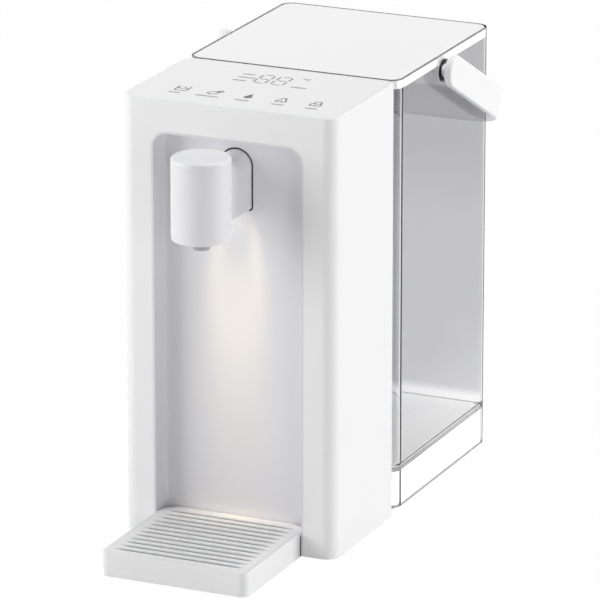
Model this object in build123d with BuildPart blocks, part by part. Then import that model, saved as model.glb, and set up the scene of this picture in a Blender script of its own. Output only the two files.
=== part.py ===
from build123d import *
from math import acos, cos, degrees, pi, radians, sin
import os

# Countertop hot water dispenser. Millimetres, +Z up, the spout faces -Y.
# The origin is on the worktop, under the middle of the whole object.

# Housing
housing_width = 152.8
housing_depth = 102.0
housing_top = 301.2
foot_height = 1.2
corner_radius = 9.0
shell_wall = 2.5
shell_edge_radius = 1.2
fit_gap = 0.2
press_gap = 0.02
run_gap = 0.05
overrun = 5.0

# Alcove behind the spout and its liner
alcove_margin = 22.4
alcove_drop = 21.8
alcove_corner = 11.0
alcove_depth = 15.0
liner_gap = 0.15
liner_wall = 1.1
liner_back = 2.6
liner_flange = 5.0
liner_inner_radius = 3.0
flange_thickness = 2.0

# Top panel and the board under it
panel_thickness = 2.4
panel_gap = 0.06
ledge_width = 3.0
ledge_thickness = 2.0
board_thickness = 1.6
board_drop = 7.0
board_margin = 8.0
post_radius = 3.5
post_inset = 7.0
chip_size = 14.0
chip_height = 3.0
touch_pad_radius = 4.5
touch_pitch = 24.0
touch_setback = 30.5
display_width = 34.0
display_length = 30.0
display_rear_inset = 30.0

# Rear opening of the housing and its panel
rear_margin = 9.0
rear_opening_drop = 31.2
rear_corner = 5.0
rear_flange = 8.0
rear_boss_radius = 3.4
rear_screw_inset = 26.0

# Base plate, platform under the tank, feet and screws
plate_thickness = 2.6
platform_wall = 2.6
platform_edge_radius = 1.2
skirt_gap = 1.0
vent_side = 44.0
vent_pitch = 6.0
vent_count = 5
vent_length = 26.0
vent_width = 3.0
foot_radius = 7.0
foot_recess = 1.0
foot_inset = 22.0
screw_radius = 1.5
screw_head_radius = 2.9
screw_head_height = 1.4
screw_length = 10.0
screw_boss_radius = 4.2
screw_boss_height = 16.0
screw_boss_sink = 0.4
screw_setback = 34.0

# Mains cord gland on the left side
gland_radius = 5.5
gland_collar = 2.5
gland_collar_thickness = 2.4
gland_bore = 3.4
gland_height = 26.0
gland_rear_inset = 18.0

# Spout arm, head and nozzle
arm_width = 21.4
arm_drop = 32.2
arm_height = 39.6
arm_edge_radius = 1.5
arm_wall = 2.2
arm_gap = 1.2
arm_flange = 7.0
arm_end_setback = 7.0
head_diameter = 39.4
head_drop = 23.0
head_height = 55.0
head_ahead = 38.7
head_wall = 2.2
head_top_radius = 2.0
head_bottom_radius = 1.2
head_floor = 2.4
nozzle_radius = 5.5
nozzle_neck_radius = 4.2
nozzle_drop = 6.6
nozzle_lip = 1.0

# Lamp in the underside of the arm
lens_width = 10.0
lens_length = 16.0
lens_rim = 2.0
lens_rim_thickness = 1.0
lamp_chip_size = 5.0
lamp_chip_height = 1.4

# Hoses and the stubs that they push onto
hose_radius = 4.0
hose_bore = 2.6
stub_bore = 1.6
stub_length = 8.0
hose_bend = 8.0
outlet_bend = 9.5

# Drip tray and grille
tray_side_gap = 0.55
tray_reach = 84.8
tray_top = 17.4
tray_clearance = 0.7
tray_wall = 1.8
tray_corner = 5.5
tray_edge_radius = 0.7
tray_back_gap = 0.5
grille_thickness = 2.8
grille_lip = 1.6
grille_lip_wall = 2.0
grille_rear_corner = 14.0
groove_pitch = 7.3
groove_radius = 2.0
groove_depth = 1.8
groove_runout_radius = 42.0
groove_end_margin = 4.5
drain_width = 1.4
drain_end_share = 0.55
tongue_width = 18.0
tongue_thickness = 3.0
tongue_reach = 7.0
tongue_inset = 20.2
tongue_height = 6.0
tongue_gap = 0.4

# Water tank and lid
tank_gap = 0.6
tank_depth = 159.2
tank_bottom = 3.6
tank_wall = 2.6
tank_floor = 31.1
tank_floor_thickness = 2.6
tank_floor_radius = 3.0
rim_wall = 1.3
lid_depth = 6.6
lid_thickness = 2.4
lid_wall = 2.0
lid_edge_radius = 0.6

# Tank handle: a strap that hangs behind the tank from two pivots
pivot_behind = 77.0
pivot_drop = 11.5
handle_width = 21.8
handle_thickness = 5.2
handle_gap = 5.0
handle_reach = 107.5
handle_corner = 26.5
handle_edge_radius = 1.2
handle_droop = 28.0
handle_end_share = 0.485
pivot_boss_radius = 8.0
pivot_boss_gap = 0.4
pin_radius = 3.0
pin_seat = 3.0
pin_engage = 4.0

# Tank valve and the socket that it plugs into
valve_setback = 30.0
valve_tube_radius = 10.0
valve_tube_drop = 7.4
valve_wall = 2.0
valve_flange = 4.0
valve_flange_thickness = 1.8
valve_cage_height = 13.0
valve_cage_top = 2.0
valve_window_width = 5.0
valve_seat_radius = 5.0
valve_seat_thickness = 2.0
valve_travel = 3.0
valve_seal_radius = 6.8
valve_seal_thickness = 2.0
valve_closed_gap = 0.3
plunger_radius = 2.0
plunger_disc_radius = 7.0
plunger_disc_thickness = 1.4
plunger_tip = 6.0
spring_radius = 4.6
spring_wire = 0.5
spring_turns = 5
coil_samples = 200
spring_seat_gap = 0.1
socket_wall = 3.0
socket_bore = 11.5
socket_flange = 4.0
socket_floor = 2.0
seal_minor_radius = 1.2
seal_groove_drop = 1.6

# Pump
motor_radius = 11.6
motor_edge_radius = 1.25
motor_length_share = 0.44
cradle_floor = 1.2
cradle_length = 24.0
cradle_side = 3.0
cradle_rise_share = 0.6
volute_length = 14.0
volute_chamber_radius = 9.4
volute_chamber_depth = 9.0
riser_offset = 6.5
pump_cover_thickness = 3.0
impeller_radius = 8.6
impeller_hub_radius = 2.4
impeller_disc = 1.6
impeller_height = 6.0
impeller_blades = 6
impeller_blade = 1.0
impeller_lift = 1.0
shaft_radius = 1.0
shaft_reach = 6.0

# Flow heater
heater_radius = 17.0
heater_wall = 1.4
heater_length_share = 0.45
heater_bottom_share = 0.32
heater_cap_height = 9.0
heater_cap_wall = 2.4
heater_cap_sink = 5.0
heater_standoff_share = 0.17
riser_behind_share = 0.29
clamp_wall = 2.4
clamp_height = 10.0
clamp_place_share = 0.3
bracket_thickness = 3.0
bracket_width = 26.0
thermostat_radius = 6.5
thermostat_height = 8.0
contact_gap = 0.05

# Power board on the rear panel
power_board_margin = 8.4
power_board_drop = 98.0
power_board_height_share = 0.43
transformer_size = 26.0
transformer_depth = 17.0
capacitor_radius = 6.0
capacitor_length = 15.0
relay_size = 18.0
relay_depth = 13.0
component_share = 0.34
connector_size = 16.0
connector_depth = 6.0
cable_width = 12.0
cable_thickness = 1.2
cable_place_share = -0.3

# Places that follow from the sizes
droop = radians(handle_droop)
alcove_width = housing_width - 2 * alcove_margin
alcove_top = housing_top - alcove_drop
arm_top = housing_top - arm_drop
arm_bottom = arm_top - arm_height
head_top = housing_top - head_drop
head_bottom = head_top - head_height
pivot_height = housing_top - pivot_drop
rear_opening_top = housing_top - rear_opening_drop
handle_behind = handle_reach * cos(droop) + handle_width / 2 * sin(droop)
overall_depth = tray_reach + housing_depth + pivot_behind + handle_behind
front_y = tray_reach - overall_depth / 2
rear_y = front_y + housing_depth
housing_middle_y = (front_y + rear_y) / 2
tank_front_y = rear_y + tank_gap
tank_rear_y = tank_front_y + tank_depth
tank_middle_y = (tank_front_y + tank_rear_y) / 2
pivot_y = rear_y + pivot_behind
shell_bottom = foot_height
plate_top = foot_height + plate_thickness
panel_underside = housing_top - panel_thickness
ledge_bottom = panel_underside - ledge_thickness
board_top = panel_underside - board_drop
alcove_back_y = front_y + alcove_depth
liner_rear_y = alcove_back_y + liner_back
head_y = front_y - head_ahead
head_radius = head_diameter / 2
head_floor_top = head_bottom + head_floor
floor_underside = tank_floor - tank_floor_thickness
platform_top = floor_underside
platform_under = platform_top - platform_wall
lid_seat = housing_top - lid_depth
rear_opening_half = housing_width / 2 - corner_radius - rear_margin
rear_inner_y = rear_y - shell_wall - flange_thickness
power_board_y = rear_inner_y - board_drop
power_board_width = 2 * (rear_opening_half - power_board_margin)
power_board_height = power_board_height_share * (rear_opening_top - platform_top)
power_board_middle = rear_opening_top - power_board_drop
stub_radius = hose_bore - run_gap
tray_bottom = tray_clearance
tray_width = alcove_width - 2 * (liner_gap + liner_wall + tray_side_gap)
tongue_spread = tray_width / 2 - tongue_inset
tray_length = tray_reach + alcove_depth - tray_back_gap
tray_middle_y = front_y - tray_reach + tray_length / 2
grille_seat = tray_top - grille_thickness
handle_inner = housing_width / 2 + handle_gap
handle_half = handle_inner + handle_thickness
pivot_boss_length = handle_gap - pivot_boss_gap
valve_y = tank_front_y + valve_setback
socket_radius = socket_bore + socket_wall
pump_z = plate_top + cradle_floor + motor_radius
pump_x = -riser_offset
works_depth = rear_y - shell_wall - liner_rear_y
outlet_hose_z = (arm_top + arm_bottom) / 2
works_height = outlet_hose_z - plate_top
heater_y = liner_rear_y + heater_standoff_share * works_depth + heater_radius
heater_bottom = plate_top + heater_bottom_share * works_height
heater_length = heater_length_share * works_height
riser_y = heater_y + riser_behind_share * works_depth
motor_length = motor_length_share * works_depth
volute_front_y = riser_y - volute_length / 2
volute_rear_y = riser_y + volute_length / 2
motor_front_y = volute_front_y - motor_length
heater_top = heater_bottom + heater_length
gland_y = rear_y - gland_rear_inset
lens_y = (head_y + head_radius + alcove_back_y) / 2
cable_x = cable_place_share * power_board_width
cable_y = power_board_y - board_thickness - connector_depth / 2
valve_tube_bottom = floor_underside - valve_tube_drop
valve_seat_top = valve_tube_bottom + valve_seat_thickness
seal_bottom = valve_seat_top + valve_travel + valve_closed_gap
plunger_disc_bottom = seal_bottom + valve_seal_thickness
plunger_disc_top = plunger_disc_bottom + plunger_disc_thickness
cage_top = tank_floor + valve_flange_thickness + valve_cage_height
cage_under = cage_top - valve_cage_top
plunger_bottom = seal_bottom - plunger_tip


def standing_plane(y):
    """Upright plane at depth y that faces the front: x to the right, z upwards."""
    return Plane(origin=(0, y, 0), x_dir=(1, 0, 0), z_dir=(0, -1, 0))


def side_plane(x):
    """Upright plane at width x that faces the right: y to the right, z upwards."""
    return Plane(origin=(x, 0, 0), x_dir=(0, 1, 0), z_dir=(1, 0, 0))


def upright_axis(y):
    """Vertical axis in the middle of the width at depth y."""
    return Axis((0, y, 0), (0, 0, 1))


def housing_plan(inset, mode=Mode.ADD):
    """Plan of the housing, drawn in by inset."""
    with Locations((0, housing_middle_y)):
        RectangleRounded(
            housing_width - 2 * inset, housing_depth - 2 * inset, corner_radius - inset, mode=mode
        )


def tank_plan(inset, mode=Mode.ADD):
    """Plan of the tank, drawn in by inset."""
    with Locations((0, tank_middle_y)):
        RectangleRounded(
            housing_width - 2 * inset, tank_depth - 2 * inset, corner_radius - inset, mode=mode
        )


def platform_plan(inset, bridge_front_y, mode=Mode.ADD):
    """Plan of the platform inside the tank's skirt, with the bridge to the housing."""
    tank_plan(tank_wall + skirt_gap + inset, mode)
    bridge_length = tank_middle_y - bridge_front_y
    with Locations((0, tank_middle_y - bridge_length / 2)):
        Rectangle(2 * (rear_opening_half - fit_gap - inset), bridge_length, mode=mode)


def tray_plan(inset, mode=Mode.ADD):
    """Plan of the drip tray, drawn in by inset."""
    with Locations((0, tray_middle_y)):
        RectangleRounded(
            tray_width - 2 * inset, tray_length - 2 * inset, tray_corner - inset, mode=mode
        )


def grille_plan(inset, mode=Mode.ADD):
    """Plan of the drip grille, drawn in by inset, with wide rear corners to lift it by."""
    with BuildSketch() as plate:
        with Locations((0, tray_middle_y)):
            Rectangle(tray_width - 2 * inset, tray_length - 2 * inset)
        fillet(plate.vertices().group_by(Axis.Y)[0], tray_corner - inset)
        fillet(plate.vertices().group_by(Axis.Y)[-1], grille_rear_corner - inset)
    add(plate.sketch, mode=mode)


def arched_face(half, bottom, top, radius, mode=Mode.ADD):
    """Upright opening with square lower corners and rounded upper ones."""
    with BuildLine() as outline:
        arch = FilletPolyline(
            (half, bottom), (half, top), (-half, top), (-half, bottom), radius=radius
        )
        Line(arch @ 1, arch @ 0)
    make_face(outline.edges(), mode=mode)


def alcove_face(inset, mode=Mode.ADD):
    """Front opening of the alcove, drawn in by inset and open to the worktop."""
    arched_face(
        alcove_width / 2 - inset, shell_bottom, alcove_top - inset, alcove_corner - inset, mode
    )


def arm_face(grow, mode=Mode.ADD):
    """Section of the spout arm: a half round top on straight sides."""
    half = arm_width / 2 + grow
    spring_line = arm_top - arm_width / 2
    bottom = arm_bottom - grow
    with BuildLine() as outline:
        sides = FilletPolyline(
            (-half, spring_line),
            (-half, bottom),
            (half, bottom),
            (half, spring_line),
            radius=max(arm_edge_radius + grow, arm_edge_radius / 2),
        )
        ThreePointArc(sides @ 1, (0, spring_line + half), sides @ 0)
    make_face(outline.edges(), mode=mode)


def strap_face(inset, mode=Mode.ADD):
    """Outline of the handle's U, drawn in by inset and open towards the front."""
    half = handle_half - inset
    near = -handle_width / 2
    far = handle_reach - inset
    with BuildLine() as outline:
        bow = FilletPolyline(
            (half, near), (half, far), (-half, far), (-half, near), radius=handle_corner - inset
        )
        Line(bow @ 1, bow @ 0)
    make_face(outline.edges(), mode=mode)


def round_bar(plane, place, radius, length, mode=Mode.ADD):
    """Round bar or bore that starts on a plane at a place and runs along its normal."""
    with BuildSketch(plane) as section:
        with Locations(place):
            Circle(radius)
    extrude(section.sketch, amount=length, mode=mode)


def block(plane, place, width, height, length, mode=Mode.ADD):
    """Rectangular block or pocket that starts on a plane and runs along its normal."""
    with BuildSketch(plane) as section:
        with Locations(place):
            Rectangle(width, height)
    extrude(section.sketch, amount=length, mode=mode)


def hose_along(points, bend):
    """Hose with an open bore along straight runs joined by tangent arcs."""
    with BuildLine() as route:
        FilletPolyline(*points, radius=bend)
    with BuildSketch(Plane(origin=route.line @ 0, z_dir=route.line % 0)) as section:
        Circle(hose_radius)
        Circle(hose_bore, mode=Mode.SUBTRACT)
    sweep(section.sketch, path=route.wire())


# Places of the screws, feet and posts
screw_side = housing_width / 2 - shell_wall - screw_boss_radius + screw_boss_sink
base_screw_places = [
    (side * screw_side, y)
    for side in (-1, 1)
    for y in (front_y + screw_setback, rear_y - screw_setback)
]
rear_screw_side = rear_opening_half + rear_flange / 2
rear_screw_places = [
    (side * rear_screw_side, z)
    for side in (-1, 1)
    for z in (platform_top + rear_screw_inset, rear_opening_top - rear_screw_inset)
]
foot_side = housing_width / 2 - foot_inset
foot_places = [
    (side * foot_side, y)
    for side in (-1, 1)
    for y in (liner_rear_y + foot_radius + foot_recess, tank_rear_y - foot_inset)
]
control_board_width = housing_width - 2 * (shell_wall + ledge_width + board_margin)
control_board_depth = housing_depth - 2 * (shell_wall + ledge_width + flange_thickness)
control_post_places = [
    (
        x * (control_board_width / 2 - post_inset),
        housing_middle_y + y * (control_board_depth / 2 - post_inset),
    )
    for x in (-1, 1)
    for y in (-1, 1)
]
power_post_places = [
    (
        x * (power_board_width / 2 - post_inset),
        power_board_middle + z * (power_board_height / 2 - post_inset),
    )
    for x in (-1, 1)
    for z in (-1, 1)
]
touch_places = [(step * touch_pitch, front_y + touch_setback) for step in (-2, -1, 0, 1, 2)]
tongue_places = [(side * tongue_spread, tongue_height) for side in (-1, 1)]

# Front shell: sleeve round the works, open below, in front and behind
with BuildPart() as front_shell:
    with BuildSketch(Plane.XY.offset(shell_bottom)):
        housing_plan(0)
    extrude(amount=housing_top - shell_bottom)
    fillet(front_shell.edges().group_by(Axis.Z)[-1], shell_edge_radius)
    with BuildSketch(Plane.XY.offset(shell_bottom)):
        housing_plan(shell_wall)
    extrude(amount=housing_top - shell_bottom, mode=Mode.SUBTRACT)
    with BuildSketch(Plane.XY.offset(ledge_bottom)):
        housing_plan(shell_wall)
        housing_plan(shell_wall + ledge_width, Mode.SUBTRACT)
    extrude(amount=ledge_thickness)
    with BuildSketch(standing_plane(front_y)):
        alcove_face(0)
    extrude(amount=-shell_wall, mode=Mode.SUBTRACT)
    with BuildSketch(standing_plane(rear_y)):
        arched_face(rear_opening_half, shell_bottom, rear_opening_top, rear_corner)
    extrude(amount=shell_wall, mode=Mode.SUBTRACT)
    for place in base_screw_places:
        round_bar(Plane.XY.offset(plate_top), place, screw_boss_radius, screw_boss_height)
        round_bar(
            Plane.XY.offset(plate_top),
            place,
            screw_radius + run_gap,
            screw_length,
            Mode.SUBTRACT,
        )
    for place in rear_screw_places:
        round_bar(standing_plane(rear_y), place, screw_radius + fit_gap, shell_wall, Mode.SUBTRACT)
        round_bar(
            standing_plane(rear_y),
            place,
            screw_head_radius + fit_gap,
            screw_head_height,
            Mode.SUBTRACT,
        )
    round_bar(
        side_plane(-housing_width / 2),
        (gland_y, gland_height),
        gland_radius + fit_gap,
        shell_wall,
        Mode.SUBTRACT,
    )

# Alcove panel: liner with side walls, a back wall and a flange behind the shell
with BuildPart() as alcove_panel:
    with BuildSketch(standing_plane(front_y)):
        alcove_face(liner_gap)
    extrude(amount=-(alcove_depth + liner_back))
    with BuildSketch(standing_plane(front_y + shell_wall)):
        alcove_face(-liner_flange)
    extrude(amount=-flange_thickness)
    with BuildSketch(standing_plane(front_y)):
        alcove_face(liner_gap + liner_wall)
    extrude(amount=-alcove_depth, mode=Mode.SUBTRACT)
    back_edges = alcove_panel.edges().filter_by_position(
        Axis.Y, alcove_back_y - run_gap, alcove_back_y + run_gap
    )
    fillet(back_edges.sort_by(Axis.Z)[1:], liner_inner_radius)
    with BuildSketch(standing_plane(alcove_back_y)):
        arm_face(arm_gap)
    extrude(amount=-liner_back, mode=Mode.SUBTRACT)
    for place in tongue_places:
        block(
            standing_plane(alcove_back_y),
            place,
            tongue_width + 2 * tongue_gap,
            tongue_thickness + 2 * tongue_gap,
            -liner_back,
            Mode.SUBTRACT,
        )

# Control panel: top plate that rests on the shell's ledge, with posts for its board
with BuildPart() as control_panel:
    with BuildSketch(Plane.XY.offset(panel_underside)):
        housing_plan(shell_wall + panel_gap)
    extrude(amount=panel_thickness)
    for place in control_post_places:
        round_bar(Plane.XY.offset(panel_underside), place, post_radius, -board_drop)

# Control board: hangs from the panel's posts
with BuildPart() as control_board:
    block(
        Plane.XY.offset(board_top),
        (0, housing_middle_y),
        control_board_width,
        control_board_depth,
        -board_thickness,
    )
    for side in (-1, 1):
        block(
            Plane.XY.offset(board_top - board_thickness),
            (side * chip_size, housing_middle_y),
            chip_size,
            chip_size,
            -chip_height,
        )
    block(
        Plane.XY.offset(board_top - board_thickness),
        (cable_x, cable_y),
        connector_size,
        connector_depth,
        -connector_depth,
    )

# Display module: two-digit lamp block between the board and the panel
with BuildPart() as display_module:
    block(
        Plane.XY.offset(board_top),
        (0, rear_y - display_rear_inset),
        display_width,
        display_length,
        board_drop,
    )
    fillet(display_module.edges().filter_by(Axis.Z), board_thickness)

# Touch pads: one sensing pad under each mark
with BuildPart() as touch_pads:
    for place in touch_places:
        round_bar(Plane.XY.offset(board_top), place, touch_pad_radius, board_drop)

# Rear panel: closes the shell behind, carries the power board
with BuildPart() as rear_panel:
    with BuildSketch(standing_plane(rear_y)):
        arched_face(
            rear_opening_half - fit_gap,
            platform_top + fit_gap,
            rear_opening_top - fit_gap,
            rear_corner - fit_gap,
        )
    extrude(amount=shell_wall)
    with BuildSketch(standing_plane(rear_y - shell_wall)):
        arched_face(
            rear_opening_half + rear_flange,
            platform_top + fit_gap,
            rear_opening_top + rear_flange,
            rear_corner + rear_flange,
        )
    extrude(amount=flange_thickness)
    for place in power_post_places:
        round_bar(standing_plane(rear_inner_y), place, post_radius, board_drop)
    for place in rear_screw_places:
        round_bar(standing_plane(rear_inner_y), place, rear_boss_radius, screw_length)
        round_bar(
            standing_plane(rear_y - shell_wall),
            place,
            screw_radius + run_gap,
            screw_length,
            Mode.SUBTRACT,
        )

# Power board: stands on the rear panel's posts, its parts face the heater
with BuildPart() as power_board:
    board_face = standing_plane(power_board_y - board_thickness)
    part_x = component_share * power_board_width
    part_z = component_share * power_board_height
    block(
        standing_plane(power_board_y),
        (0, power_board_middle),
        power_board_width,
        power_board_height,
        board_thickness,
    )
    block(
        board_face,
        (part_x, power_board_middle + part_z),
        transformer_size,
        transformer_size,
        transformer_depth,
    )
    block(
        board_face,
        (-part_x, power_board_middle - part_z),
        relay_size,
        relay_size,
        relay_depth,
    )
    for step in (0, 1):
        round_bar(
            board_face,
            (part_x, power_board_middle - part_z + step * (transformer_size - capacitor_radius)),
            capacitor_radius,
            capacitor_length,
        )
    block(
        board_face,
        (cable_x, power_board_middle + power_board_height / 2 - connector_size / 2),
        connector_size,
        connector_size,
        connector_depth,
    )

# Board cable: flat ribbon from the power board up to the control board
with BuildPart() as board_cable:
    cable_bottom = power_board_middle + power_board_height / 2
    cable_top = board_top - board_thickness - connector_depth
    block(
        Plane.XY.offset(cable_bottom),
        (cable_x, cable_y),
        cable_width,
        cable_thickness,
        cable_top - cable_bottom,
    )

# Base plate: floor of the housing and of the platform
with BuildPart() as base_plate:
    with BuildSketch(Plane.XY.offset(foot_height)):
        housing_plan(shell_wall + fit_gap)
        platform_plan(0, housing_middle_y)
        for notch_width, notch_length in (
            (alcove_width + 2 * (liner_flange + fit_gap), shell_wall + flange_thickness + fit_gap),
            (alcove_width + 2 * fit_gap, alcove_depth + liner_back + fit_gap),
        ):
            with Locations((0, front_y + notch_length / 2)):
                Rectangle(notch_width, notch_length, mode=Mode.SUBTRACT)
        for side in (-1, 1):
            with Locations((side * vent_side, housing_middle_y)):
                with GridLocations(vent_pitch, 0, vent_count, 1):
                    SlotOverall(vent_length, vent_width, rotation=90, mode=Mode.SUBTRACT)
    extrude(amount=plate_thickness)
    for place in foot_places:
        round_bar(
            Plane.XY.offset(foot_height), place, foot_radius + fit_gap, foot_recess, Mode.SUBTRACT
        )
    for place in base_screw_places:
        round_bar(
            Plane.XY.offset(foot_height),
            place,
            screw_radius + fit_gap,
            plate_thickness,
            Mode.SUBTRACT,
        )
        round_bar(
            Plane.XY.offset(foot_height),
            place,
            screw_head_radius + fit_gap,
            screw_head_height,
            Mode.SUBTRACT,
        )

# Tank platform: hollow block that the tank stands on, open towards the housing
with BuildPart() as tank_platform:
    with BuildSketch(Plane.XY.offset(plate_top)):
        platform_plan(0, rear_y - shell_wall)
    extrude(amount=platform_top - plate_top)
    fillet(tank_platform.edges().group_by(Axis.Z)[-1], platform_edge_radius)
    with BuildSketch(Plane.XY.offset(plate_top)):
        platform_plan(platform_wall, rear_y - shell_wall - overrun)
    extrude(amount=platform_under - plate_top, mode=Mode.SUBTRACT)
    round_bar(
        Plane.XY.offset(platform_under),
        (0, valve_y),
        socket_radius + fit_gap,
        platform_wall,
        Mode.SUBTRACT,
    )

# Rubber feet
with BuildPart() as rubber_feet:
    for place in foot_places:
        round_bar(Plane.XY, place, foot_radius, foot_height + foot_recess)
    fillet(rubber_feet.edges().group_by(Axis.Z)[0], foot_height / 2)

# Base screws: hold the base plate under the shell's bosses
with BuildPart() as base_screws:
    for place in base_screw_places:
        round_bar(Plane.XY.offset(foot_height), place, screw_head_radius, screw_head_height)
        round_bar(
            Plane.XY.offset(foot_height + screw_head_height), place, screw_radius, screw_length
        )

# Rear screws: hold the rear panel inside the shell
with BuildPart() as rear_screws:
    for place in rear_screw_places:
        round_bar(standing_plane(rear_y), place, screw_head_radius, screw_head_height)
        round_bar(standing_plane(rear_y - screw_head_height), place, screw_radius, screw_length)

# Cord gland: collar outside, neck through the shell, nut inside
with BuildPart() as cord_gland:
    gland_place = (gland_y, gland_height)
    gland_outer = -housing_width / 2 - gland_collar_thickness
    gland_inner = -housing_width / 2 + shell_wall
    round_bar(
        side_plane(gland_outer), gland_place, gland_radius + gland_collar, gland_collar_thickness
    )
    fillet(cord_gland.edges().group_by(Axis.X)[0], gland_collar / 2)
    round_bar(side_plane(-housing_width / 2), gland_place, gland_radius, shell_wall)
    with BuildSketch(side_plane(gland_inner)):
        with Locations(gland_place):
            RegularPolygon(gland_radius + gland_collar, 6)
    extrude(amount=gland_collar_thickness)
    round_bar(
        side_plane(gland_outer),
        gland_place,
        gland_bore,
        2 * gland_collar_thickness + shell_wall,
        Mode.SUBTRACT,
    )

# Spout arm: hollow arched bar through the alcove's back wall, with a flange behind it
with BuildPart() as spout_arm:
    arm_end_y = head_y + arm_end_setback
    with BuildSketch(standing_plane(liner_rear_y)):
        arm_face(0)
    extrude(amount=liner_rear_y - arm_end_y)
    with BuildSketch(standing_plane(liner_rear_y)):
        arm_face(arm_flange)
    extrude(amount=-flange_thickness)
    with BuildSketch(standing_plane(liner_rear_y + flange_thickness)):
        arm_face(-arm_wall)
    extrude(amount=liner_rear_y + flange_thickness - arm_end_y, mode=Mode.SUBTRACT)
    block(
        Plane.XY.offset(arm_bottom), (0, lens_y), lens_width, lens_length, arm_wall, Mode.SUBTRACT
    )

# Spout head: upright cylinder over the arm's end
with BuildPart() as spout_head:
    round_bar(Plane.XY.offset(head_bottom), (0, head_y), head_radius, head_top - head_bottom)
    fillet(spout_head.edges().group_by(Axis.Z)[-1], head_top_radius)
    fillet(spout_head.edges().group_by(Axis.Z)[0], head_bottom_radius)
    round_bar(
        Plane.XY.offset(head_bottom),
        (0, head_y),
        head_radius - head_wall,
        head_top - head_bottom - head_wall,
        Mode.SUBTRACT,
    )
    with BuildSketch(standing_plane(head_y)):
        arm_face(fit_gap)
    extrude(amount=-head_diameter, mode=Mode.SUBTRACT)

# Spout bottom: disc that closes the head round the nozzle
with BuildPart() as spout_bottom:
    round_bar(
        Plane.XY.offset(head_bottom), (0, head_y), head_radius - head_wall - run_gap, head_floor
    )
    round_bar(
        Plane.XY.offset(head_bottom),
        (0, head_y),
        nozzle_neck_radius + run_gap,
        head_floor,
        Mode.SUBTRACT,
    )

# Nozzle: outlet ring under the head, neck through its bottom, stub for the hose
with BuildPart() as nozzle:
    nozzle_bottom = head_bottom - nozzle_drop
    nozzle_top = head_floor_top + stub_length
    with BuildSketch(standing_plane(head_y)):
        with BuildLine():
            Polyline(
                (stub_bore, nozzle_bottom + nozzle_lip),
                (nozzle_neck_radius, nozzle_bottom),
                (nozzle_radius, nozzle_bottom),
                (nozzle_radius, head_bottom),
                (nozzle_neck_radius, head_bottom),
                (nozzle_neck_radius, head_floor_top),
                (stub_radius, head_floor_top),
                (stub_radius, nozzle_top),
                (stub_bore, nozzle_top),
                close=True,
            )
        make_face()
    revolve(axis=upright_axis(head_y))

# Light lens: clear window in the arm's underside, held by its rim
with BuildPart() as light_lens:
    block(
        Plane.XY.offset(arm_bottom),
        (0, lens_y),
        lens_width - 2 * fit_gap,
        lens_length - 2 * fit_gap,
        arm_wall,
    )
    lens_rim_bottom = arm_bottom + arm_wall
    block(
        Plane.XY.offset(lens_rim_bottom),
        (0, lens_y),
        lens_width + 2 * lens_rim,
        lens_length + 2 * lens_rim,
        lens_rim_thickness,
    )

# Light board: lamp chip on the lens, board on top of it
with BuildPart() as light_board:
    lamp_bottom = lens_rim_bottom + lens_rim_thickness
    block(
        Plane.XY.offset(lamp_bottom), (0, lens_y), lamp_chip_size, lamp_chip_size, lamp_chip_height
    )
    block(
        Plane.XY.offset(lamp_bottom + lamp_chip_height),
        (0, lens_y),
        lens_width + 2 * lens_rim,
        lens_length + 2 * lens_rim,
        board_thickness,
    )

# Drip tray: basin under the grille with two tongues into the alcove's back wall
with BuildPart() as drip_tray:
    with BuildSketch(Plane.XY.offset(tray_bottom)):
        tray_plan(0)
    extrude(amount=grille_seat - tray_bottom)
    with BuildSketch(Plane.XY.offset(tray_bottom + tray_wall)):
        tray_plan(tray_wall)
    extrude(amount=grille_seat - tray_bottom - tray_wall, mode=Mode.SUBTRACT)
    tongue_root_y = alcove_back_y - tray_back_gap
    for place in tongue_places:
        block(
            standing_plane(tongue_root_y),
            place,
            tongue_width,
            tongue_thickness,
            -(tray_back_gap + liner_back + tongue_reach),
        )

# Drip grille: lies on the tray's rim, with grooves that run out at both ends and a drain in each
with BuildPart() as drip_grille:
    lip_inset = tray_wall + fit_gap
    with BuildSketch(Plane.XY.offset(grille_seat)):
        grille_plan(0)
    extrude(amount=grille_thickness)
    fillet(drip_grille.edges().group_by(Axis.Z)[-1], tray_edge_radius)
    with BuildSketch(Plane.XY.offset(grille_seat)):
        grille_plan(lip_inset)
        grille_plan(lip_inset + grille_lip_wall, Mode.SUBTRACT)
    extrude(amount=-grille_lip)
    groove_count = int((tray_length - 2 * groove_end_margin) / groove_pitch)
    groove_sweep = groove_runout_radius + groove_radius
    groove_runout = (2 * groove_sweep * groove_depth - groove_depth**2) ** 0.5
    groove_run = tray_width / 2 - groove_end_margin - groove_runout
    groove_turn = degrees(acos(1 - 2 * groove_depth / groove_sweep))
    groove_axis_z = tray_top + groove_radius - groove_depth
    for step in range(groove_count):
        groove_y = tray_middle_y + (step - (groove_count - 1) / 2) * groove_pitch
        with BuildLine(standing_plane(groove_y)) as groove:
            run = Line((-groove_run, groove_axis_z), (groove_run, groove_axis_z))
            JernArc(run @ 1, (1, 0), groove_runout_radius, groove_turn)
            JernArc(run @ 0, (-1, 0), groove_runout_radius, -groove_turn)
        route = groove.wire()
        with BuildSketch(Plane(origin=route @ 0, z_dir=route % 0)):
            Circle(groove_radius)
        sweep(path=route, mode=Mode.SUBTRACT)
        block(
            Plane.XY.offset(grille_seat),
            (0, groove_y),
            2 * drain_end_share * groove_run,
            drain_width,
            grille_thickness,
            Mode.SUBTRACT,
        )

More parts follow.
